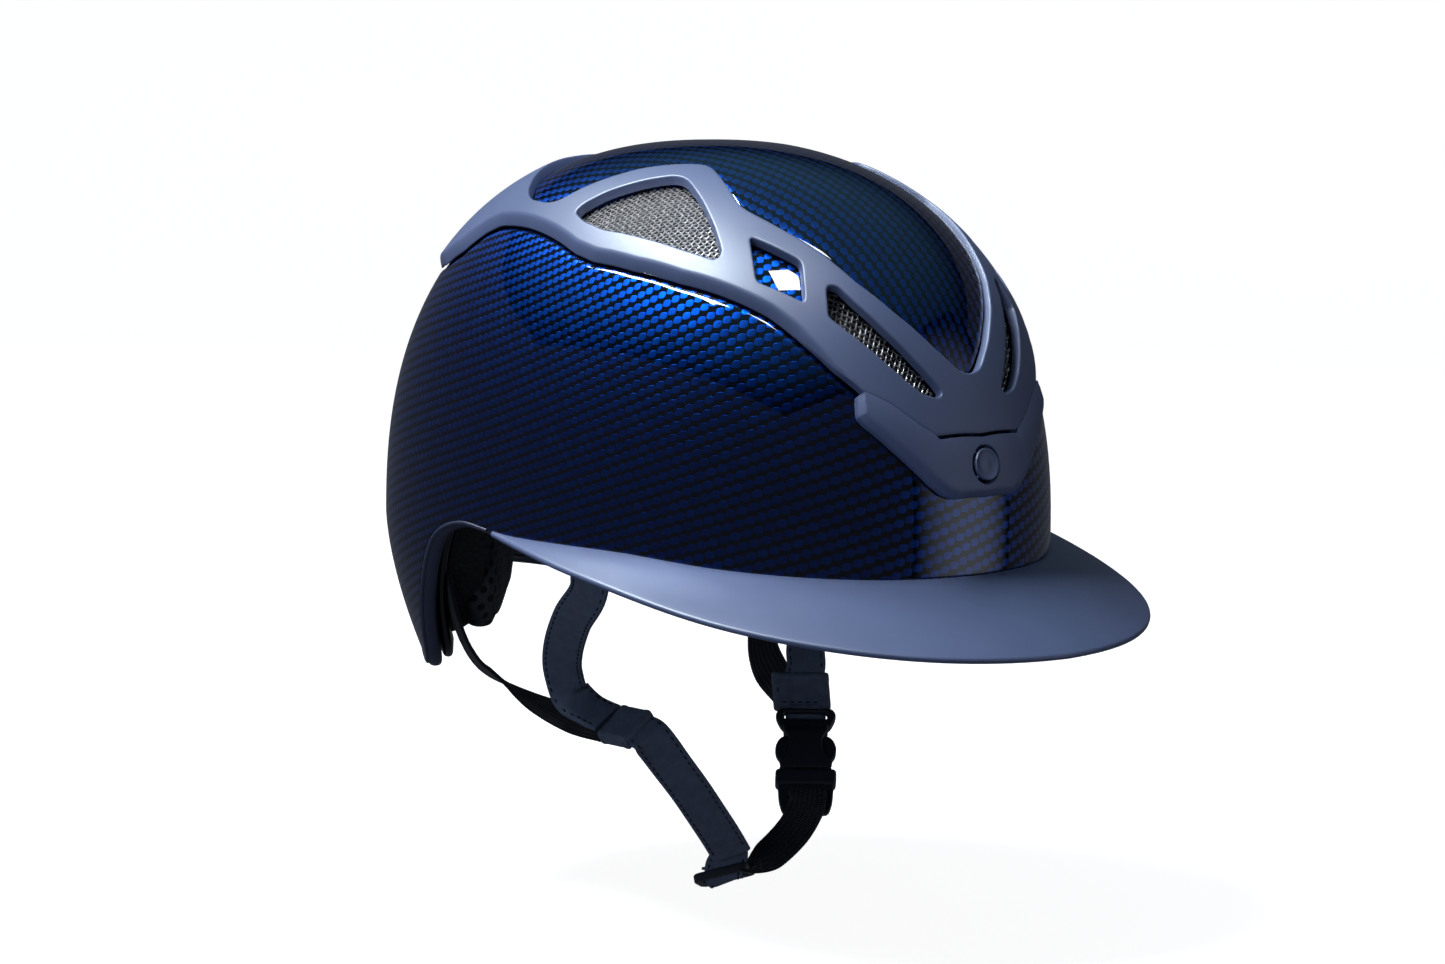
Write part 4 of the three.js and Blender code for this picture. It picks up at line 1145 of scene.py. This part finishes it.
ring = [(-11.8, 3), (-12.4, 0.4), (-10.8, -2.2), (10.8, -2.2), (12.4, 0.4), (11.8, 3), (9.4, 7.5),
        (-9.4, 7.5)]
cheek = [(-9.6, 5), (9.6, 5), (8.4, 8.6), (6.6, 11.5), (6.6, 16.5), (8.4, 19.4), (10.6, 21), (10.6, 24),
         (-10.6, 24), (-10.6, 21), (-8.4, 19.4), (-6.6, 16.5), (-6.6, 11.5), (-8.4, 8.6)]
ladder = [(-11.4, 30), (11.4, 30), (10.8, 38), (9.2, 43), (-9.2, 43), (-10.8, 38)]
socket = moulded_piece("buckle_body", BUCKLE, [
    moulding([ring, box_outline(-8.8, -0.3, 8.8, 2.5)], -2.3, 2.3, 0.9, 2.2),
    moulding([box_outline(-9, 5.5, 9, 9)], -HALF_DEPTH, HALF_DEPTH, 0.8),
    moulding([cheek], HALF_DEPTH - WALL, HALF_DEPTH, 0.5, 1.6),
    moulding([cheek], -HALF_DEPTH, WALL - HALF_DEPTH, 0.5, 1.6)])
plug = moulded_piece("buckle_insert", BUCKLE, [
    moulding([box_outline(-12.3, 24.5, 12.3, 31.3)], -HALF_DEPTH, HALF_DEPTH, 1.1, 1.8),
    moulding([box_outline(-2.2, 12, 2.2, 26)], -2.2, 2.2, 0.5),
    moulding([ladder, box_outline(-6.6, 33, 6.6, 35.8), box_outline(-6.6, 37.8, 6.6, 40.8)],
             -1.8, 1.8, 0.6, 2.0)])
finish_piece(socket, "harness", PLASTIC, ["buckle_socket"])
finish_piece(plug, "buckle_plug", PLASTIC, ["buckle_plug"])
PRONG = [(4.3, 24.1), (4.5, 16), (5.4, 11.2), (8, 9.4), (10.8, 10.8), (12.5, 14.5), (12.1, 18.4), (10, 21),
         (9.3, 24.1)]
for side, name in ((1, "left"), (-1, "right")):
    outline = [(side * x, y) for x, y in PRONG]
    prong = moulded_piece("buckle_arm_" + name, BUCKLE, [moulding([outline], -2.1, 2.1, 0.6, 1.5)])
    finish_piece(prong, "prong_" + name, PLASTIC, ["buckle_prong_" + name])

slider = [(-12, -4), (-10, -6.5), (10, -6.5), (12, -4), (12, 4), (10, 6.5), (-10, 6.5), (-12, 4)]
adjuster = moulded_piece("strap_adjuster", ADJUSTER, [
    moulding([slider, box_outline(-8.6, -4.6, 8.6, -1.4), box_outline(-8.6, 1.4, 8.6, 4.6)],
             -1.7, 1.7, 0.7, 1.5),
    moulding([box_outline(-9.5, -0.9, 9.5, 0.9)], -1.9, 1.9, 0.5)])
finish_piece(adjuster, "chin_adjuster", PLASTIC, ["chin_adjuster"])
fold = strap_piece("adjuster_fold", ADJUSTER_FOLD, FOLD_SIZE, True)
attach(fold, "chin_adjuster")

keeper_side = [(-12.2, 0), (11, 0), (12.2, 15.8), (-11.2, 15.8)]
keeper_hem = [(-12.3, 0), (11.1, 0), (11.5, 4.2), (-12.1, 4.2)]
keeper_lines = (((-10.2, 13.6), (11.2, 13.6)), ((-9.9, 5), (-9.4, 13)))
keeper_seams = [seam_row(*line, 3.25, face) for line in keeper_lines for face in (1, -1)]
keeper = moulded_piece("keeper_loop", KEEPER, [
    moulding([keeper_side], -3.3, 3.3, 1.7, 1.6),
    moulding([keeper_hem], -3.5, 3.5, 1.6, 1.2),
    moulding([box_outline(-6.4, 13, 10.0, 20.9)], -3.2, 3.2, 1.9, 1.2)], keeper_seams)
divider = moulded_piece("junction_loop", DIVIDER, [
    moulding([box_outline(-8.6, 0, 8.6, 16.6)], -3.0, 3.0, 1.6, 2.0),
    moulding([box_outline(-8.6, 0.2, 8.6, 3.6)], -3.2, 3.2, 1.4, 1.0),
    moulding([box_outline(-8.6, 13, 8.6, 16.4)], -3.2, 3.2, 1.4, 1.0)])
for piece, node in ((keeper, "keeper_sleeve"), (divider, "strap_divider_right")):
    finish_piece(piece, "harness", LEATHER, [node])
    piece.data.materials.append(THREAD)


# Liner

def make_liner():
    azimuth = np.arange(0, 360, 2.0)
    fall = angle_at_height(SHELL, azimuth, edge_height(azimuth)) - 2.4
    rear = np.abs((azimuth + 180) % 360 - 180) > 94
    rings = [on_dome(LINER_INSIDE, fall * share, azimuth) for share in np.linspace(0.02, 1, 34)]
    outer_depth = np.where(rear, -12.5, -4.4)
    rim_low = on_dome(SHELL, fall, azimuth, outer_depth)
    rings.append(0.5 * (rings[-1] + rim_low) + np.array([0, 0, -0.8]))
    rings.append(rim_low)
    rings.append(on_dome(SHELL, fall - 3.5, azimuth, outer_depth))
    rings += [on_dome(SHELL, fall * share, azimuth, -4.4) for share in np.linspace(0.93, 0.02, 20)]
    return sweep("bead_foam_liner", rings, sharp=60)


finish_piece(make_liner(), "root", FOAM, ["foam_liner"])


# Comfort pads, blown up a little by cloth simulation

PAD_VOXEL, PAD_PRESSURE, PAD_FRAMES, PAD_CAP = 4.0, 4.0, 18, 3.0
PAD_RADIUS = 90
SEAM_DEPTH = 1.4


def swell(obj, cap):
    """Remeshes a pad and lets pressure swell it, each point by no more than the cap in millimetres."""
    modifier = obj.modifiers.new("remesh", "REMESH")
    modifier.mode = "VOXEL"
    modifier.voxel_size = PAD_VOXEL * MM
    apply_modifiers(obj)
    rest = vertex_places(obj.data)
    cloth = obj.modifiers.new("cloth", "CLOTH")
    settings = cloth.settings
    settings.quality = 4
    settings.mass = 0.25
    settings.tension_stiffness = 12
    settings.compression_stiffness = 12
    settings.bending_stiffness = 0.6
    settings.use_pressure = True
    settings.uniform_pressure_force = PAD_PRESSURE
    settings.effector_weights.gravity = 0
    cloth.point_cache.frame_start = 1
    cloth.point_cache.frame_end = PAD_FRAMES
    for step in range(1, PAD_FRAMES + 1):
        bpy.context.scene.frame_set(step)
    apply_modifiers(obj)
    bpy.context.scene.frame_set(1)
    move = vertex_places(obj.data) - rest
    length = np.linalg.norm(move, axis=1)[:, None]
    move *= np.minimum(1, cap * MM / np.maximum(length, 1e-9))
    obj.data.vertices.foreach_set("co", (rest + move).ravel())
    smooth_pass = obj.modifiers.new("smooth", "SMOOTH")
    smooth_pass.factor = 0.5
    smooth_pass.iterations = 8
    subdivide = obj.modifiers.new("subdivide", "SUBSURF")
    subdivide.levels = subdivide.render_levels = 1
    apply_modifiers(obj)
    obj.data.shade_smooth()


def apply_modifiers(obj):
    graph = bpy.context.evaluated_depsgraph_get()
    mesh = bpy.data.meshes.new_from_object(obj.evaluated_get(graph))
    obj.modifiers.clear()
    old = obj.data
    obj.data = mesh
    bpy.data.meshes.remove(old)


def press_seams(obj, azimuths, heights, depth, width=2.2):
    """Sewn channels: the side towards the head is drawn in along lines of equal azimuth or height."""
    co = vertex_places(obj.data) / MM
    azimuth = np.degrees(np.arctan2(co[:, 0], -co[:, 1]))
    radius = np.hypot(co[:, 0], co[:, 1])
    reach = np.zeros(len(co))
    for line in azimuths:
        off = np.radians((azimuth - line + 180) % 360 - 180) * radius
        reach = np.maximum(reach, np.exp(-(off / width) ** 2))
    for height in heights:
        reach = np.maximum(reach, np.exp(-((co[:, 2] - height) / width) ** 2))
    inner = radius < np.median(radius)
    outwards = np.stack([co[:, 0] / radius, co[:, 1] / radius, 0 * radius], axis=1)
    co += outwards * (depth * reach * inner)[:, None]
    obj.data.vertices.foreach_set("co", (co * MM).ravel())


def wrap_coordinates(obj, radius):
    """Weave coordinates round the head, and outwards on a pad's ends, and up, in millimetres."""
    co = vertex_places(obj.data) / MM
    azimuth = np.arctan2(co[:, 0], -co[:, 1])
    azimuth = np.where((azimuth < 0) & (co[:, 1] > 0), azimuth + 2 * np.pi, azimuth)
    write_weave(obj.data, np.stack([azimuth * radius + np.hypot(co[:, 0], co[:, 1]), co[:, 2]], axis=1))


def pad_body(name, start, end, low, high, inside_radius, outside_radius, inset=1.2, corner_radius=12):
    """Curved pad between two azimuths: low(azimuth) to high, with rounded corners seen from the head."""
    width = math.radians(end - start) * PAD_RADIUS
    rings = []
    for share in np.linspace(0, 1, 36):
        side = min(share, 1 - share) * width
        corner = max(0.0, 1 - side / corner_radius)
        trim = corner_radius * (1 - math.sqrt(max(0.0, 1 - corner ** 2)))
        azimuth = start + (end - start) * (inset / width + share * (1 - 2 * inset / width))
        bottom = float(low(azimuth)) + inset + trim
        top = high - inset - trim
        heights = np.linspace(bottom, max(top, bottom + 1), 8)
        inner = np.array([float(inside_radius(azimuth, z)) for z in heights]) + inset
        outer = np.array([float(outside_radius(azimuth, z)) for z in heights]) - inset
        d = direction(90.0, azimuth)
        around = list(zip(outer, heights)) + list(zip(inner[::-1], heights[::-1]))
        rings.append([d * r + np.array([0, 0, z]) for r, z in around])
    return sweep(name, rings)


def head_side(azimuth, z):
    return plain_radius(HEAD, azimuth, z)


def liner_side(azimuth, z):
    return plain_radius(LINER_INSIDE, azimuth, z) - 2.8


def neck_bottom(azimuth):
    return edge_height(min(max(azimuth, 143), 217)) + 5


def neck_inside(azimuth, z):
    return 82


def neck_outside(azimuth, z):
    return min(97.6, float(plain_radius(SHELL, azimuth, z)) - 19)


# Name, azimuths from and to, height from (at an azimuth) and to, inner and outer radius, seams round and up
PADS = [
    ("brow_pad", -62, 62, lambda a: -4, 34, head_side, liner_side, (-40, -13, 13, 40), ()),
    ("side_pad_left", 70, 108, lambda a: 6, 40, head_side, liner_side, (89,), ()),
    ("side_pad_right", 252, 290, lambda a: 6, 40, head_side, liner_side, (271,), ()),
    ("neck_pad_left", 120, 158, neck_bottom, 8, neck_inside, neck_outside, (), ()),
    ("neck_pad_right", 202, 240, neck_bottom, 8, neck_inside, neck_outside, (), ()),
    ("nape_pad", 162, 198, lambda a: -22, 22, head_side, liner_side, (), (0,)),
]
for node, start, end, low, high, inner, outer, seams_round, seams_up in PADS:
    pad = pad_body(node.replace("pad", "cushion"), start, end, low, high, inner, outer)
    swell(pad, PAD_CAP)
    press_seams(pad, seams_round, seams_up, SEAM_DEPTH)
    wrap_coordinates(pad, 88)
    finish_piece(pad, "root", PAD_HOLES if "neck" in node else PAD_MESH, [node])


def make_crown_pad():
    azimuth = np.arange(0, 360, 7.5)
    falls = 34 * np.linspace(0.03, 0.96, 9)
    rings = [on_dome(HEAD, fall + 0 * azimuth, azimuth, 1.0) for fall in falls]
    rings += [on_dome(LINER_INSIDE, fall + 0 * azimuth, azimuth, -3.2) for fall in falls[::-1]]
    return sweep("crown_cushion", rings)


crown_pad = make_crown_pad()
swell(crown_pad, PAD_CAP)
wrap_coordinates(crown_pad, 60)
finish_piece(crown_pad, "root", PAD_MESH, ["crown_pad"])

for which in ("front", "rear"):
    for side in ("left", "right"):
        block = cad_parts[f"{which}_anchor_{side}"]
        block.data.materials.clear()
        block.data.materials.append(PLASTIC)


# The camera, at the photograph's angle

CAMERA = dict(azimuth=-43.1516, elevation=6.2128, roll=0.705, distance=1.5, shift_right=0.00676,
              shift_up=0.01315, lens=93.95)


def make_camera():
    a, e, r = (math.radians(CAMERA[k]) for k in ("azimuth", "elevation", "roll"))
    back = Vector((math.sin(a) * math.cos(e), -math.cos(a) * math.cos(e), math.sin(e)))
    right = (-back).cross(Vector((0, 0, 1))).normalized()
    up = right.cross(-back).normalized()
    right, up = right * math.cos(r) + up * math.sin(r), up * math.cos(r) - right * math.sin(r)
    data = bpy.data.cameras.new("camera")
    data.lens = CAMERA["lens"]
    data.sensor_width = 36
    camera = bpy.data.objects.new("camera", data)
    camera.matrix_world = Matrix((
        (right.x, up.x, back.x, 0), (right.y, up.y, back.y, 0), (right.z, up.z, back.z, 0), (0, 0, 0, 1)))
    camera.location = back * CAMERA["distance"] + right * CAMERA["shift_right"] + up * CAMERA["shift_up"]
    bpy.context.collection.objects.link(camera)
    bpy.context.scene.camera = camera


def make_stage():
    """Pale floor that curves up into a backdrop all round, out of the gloss and of the bounced light."""
    floor_z, radius, wall = -152.0, 4200.0, 3600.0
    corner = 1000.0
    profile = [(r, floor_z) for r in (1.0, 400.0, 1200.0, 2400.0, 3200.0)]
    for turn in np.linspace(0, np.pi / 2, 12):
        across, up = corner * math.sin(turn), corner * math.cos(turn)
        profile.append((radius - corner + across, floor_z + corner - up))
    profile.append((radius, wall))
    points, faces = revolve(profile, 96)
    stage = make_object("backdrop", points, faces[:-1], sharp=80)
    material, tree, shader = new_material("pale_backdrop")
    paper = noise(tree, 3, 2)
    paint(tree, shader, Base_Color=mix_colour(tree, paper, (0.40, 0.40, 0.41), (0.43, 0.43, 0.43)))
    shader.inputs["Roughness"].default_value = 0.9
    shader.inputs["Emission Color"].default_value = (1, 1, 1, 1)
    shader.inputs["Emission Strength"].default_value = 0.93
    stage.data.materials.append(material)
    stage.visible_glossy = False
    stage.visible_diffuse = False


def aim(obj, azimuth, elevation, distance, target=(0, 0, 0.03)):
    """Puts a light or card round the helmet, facing it. Azimuth 0 is in front and 90 on the wearer's left."""
    place = Vector(direction(90 - elevation, azimuth).tolist()) * distance + Vector(target)
    obj.location = place
    obj.rotation_euler = (Vector(target) - place).to_track_quat("-Z", "Y").to_euler()
    bpy.context.collection.objects.link(obj)


def soft_light(name, azimuth, elevation, distance, size, power, colour=(1, 1, 1), in_gloss=True,
               in_matte=True):
    data = bpy.data.lights.new(name, "AREA")
    data.shape = "RECTANGLE"
    data.size, data.size_y = size
    data.energy = power
    data.color = colour
    light = bpy.data.objects.new(name, data)
    light.visible_glossy = in_gloss
    light.visible_diffuse = in_matte
    aim(light, azimuth, elevation, distance)


def glow_card(name, azimuth, elevation, distance, size, strength, colour):
    """Card that only gloss sees, brightest in the middle and dark at its edges."""
    mesh = bpy.data.meshes.new(name)
    w, h = size[0] / 2, size[1] / 2
    mesh.from_pydata([(-w, -h, 0), (w, -h, 0), (w, h, 0), (-w, h, 0)], [], [(0, 1, 2, 3)])
    card = bpy.data.objects.new(name, mesh)
    material = bpy.data.materials.new(name)
    material.use_nodes = True
    tree = material.node_tree
    tree.nodes.clear()
    split = tree.nodes.new("ShaderNodeSeparateXYZ")
    tree.links.new(place_vector(tree), split.inputs[0])
    shares = []
    for value, half in zip(split.outputs[:2], (w, h)):
        off = math_node(tree, "ABSOLUTE", math_node(tree, "DIVIDE", value, half))
        shares.append(math_node(tree, "SUBTRACT", 1.0, math_node(tree, "POWER", off, 2.0), True))
    glow = math_node(tree, "POWER", math_node(tree, "MULTIPLY", *shares), 1.6)
    emission = tree.nodes.new("ShaderNodeEmission")
    emission.inputs[0].default_value = (*colour, 1)
    tree.links.new(math_node(tree, "MULTIPLY", glow, strength), emission.inputs[1])
    output = tree.nodes.new("ShaderNodeOutputMaterial")
    tree.links.new(emission.outputs[0], output.inputs[0])
    mesh.materials.append(material)
    card.visible_camera = card.visible_diffuse = card.visible_shadow = False
    aim(card, azimuth, elevation, distance)


def make_lights():
    soft_light("softbox", -27, 69, 1.6, (0.32, 0.24), 7, in_matte=False)
    soft_light("sky", -115, 63, 1.7, (1.3, 0.32), 38, (0.88, 0.94, 1.0))
    soft_light("sky_gloss", -115, 63, 1.69, (1.3, 0.32), 75, (0.80, 0.92, 1.0), in_matte=False)
    soft_light("fill", -80, 3, 1.9, (1.6, 0.28), 6, (0.75, 0.87, 1.0), in_gloss=False)
    glow_card("top_card", 0, 89.9, 2.0, (7.0, 7.0), 0.42, (0.30, 0.72, 1.0))
    glow_card("front_card", 36, -2, 1.8, (1.7, 2.8), 1.1, (0.80, 0.88, 1.0))
    world = bpy.data.worlds.new("studio")
    bpy.context.scene.world = world
    world.use_nodes = True
    background = world.node_tree.nodes["Background"]
    background.inputs[0].default_value = (0.75, 0.82, 1.0, 1)
    background.inputs[1].default_value = 0.09
    bpy.context.scene.view_settings.view_transform = "Standard"


make_camera()
make_stage()
make_lights()
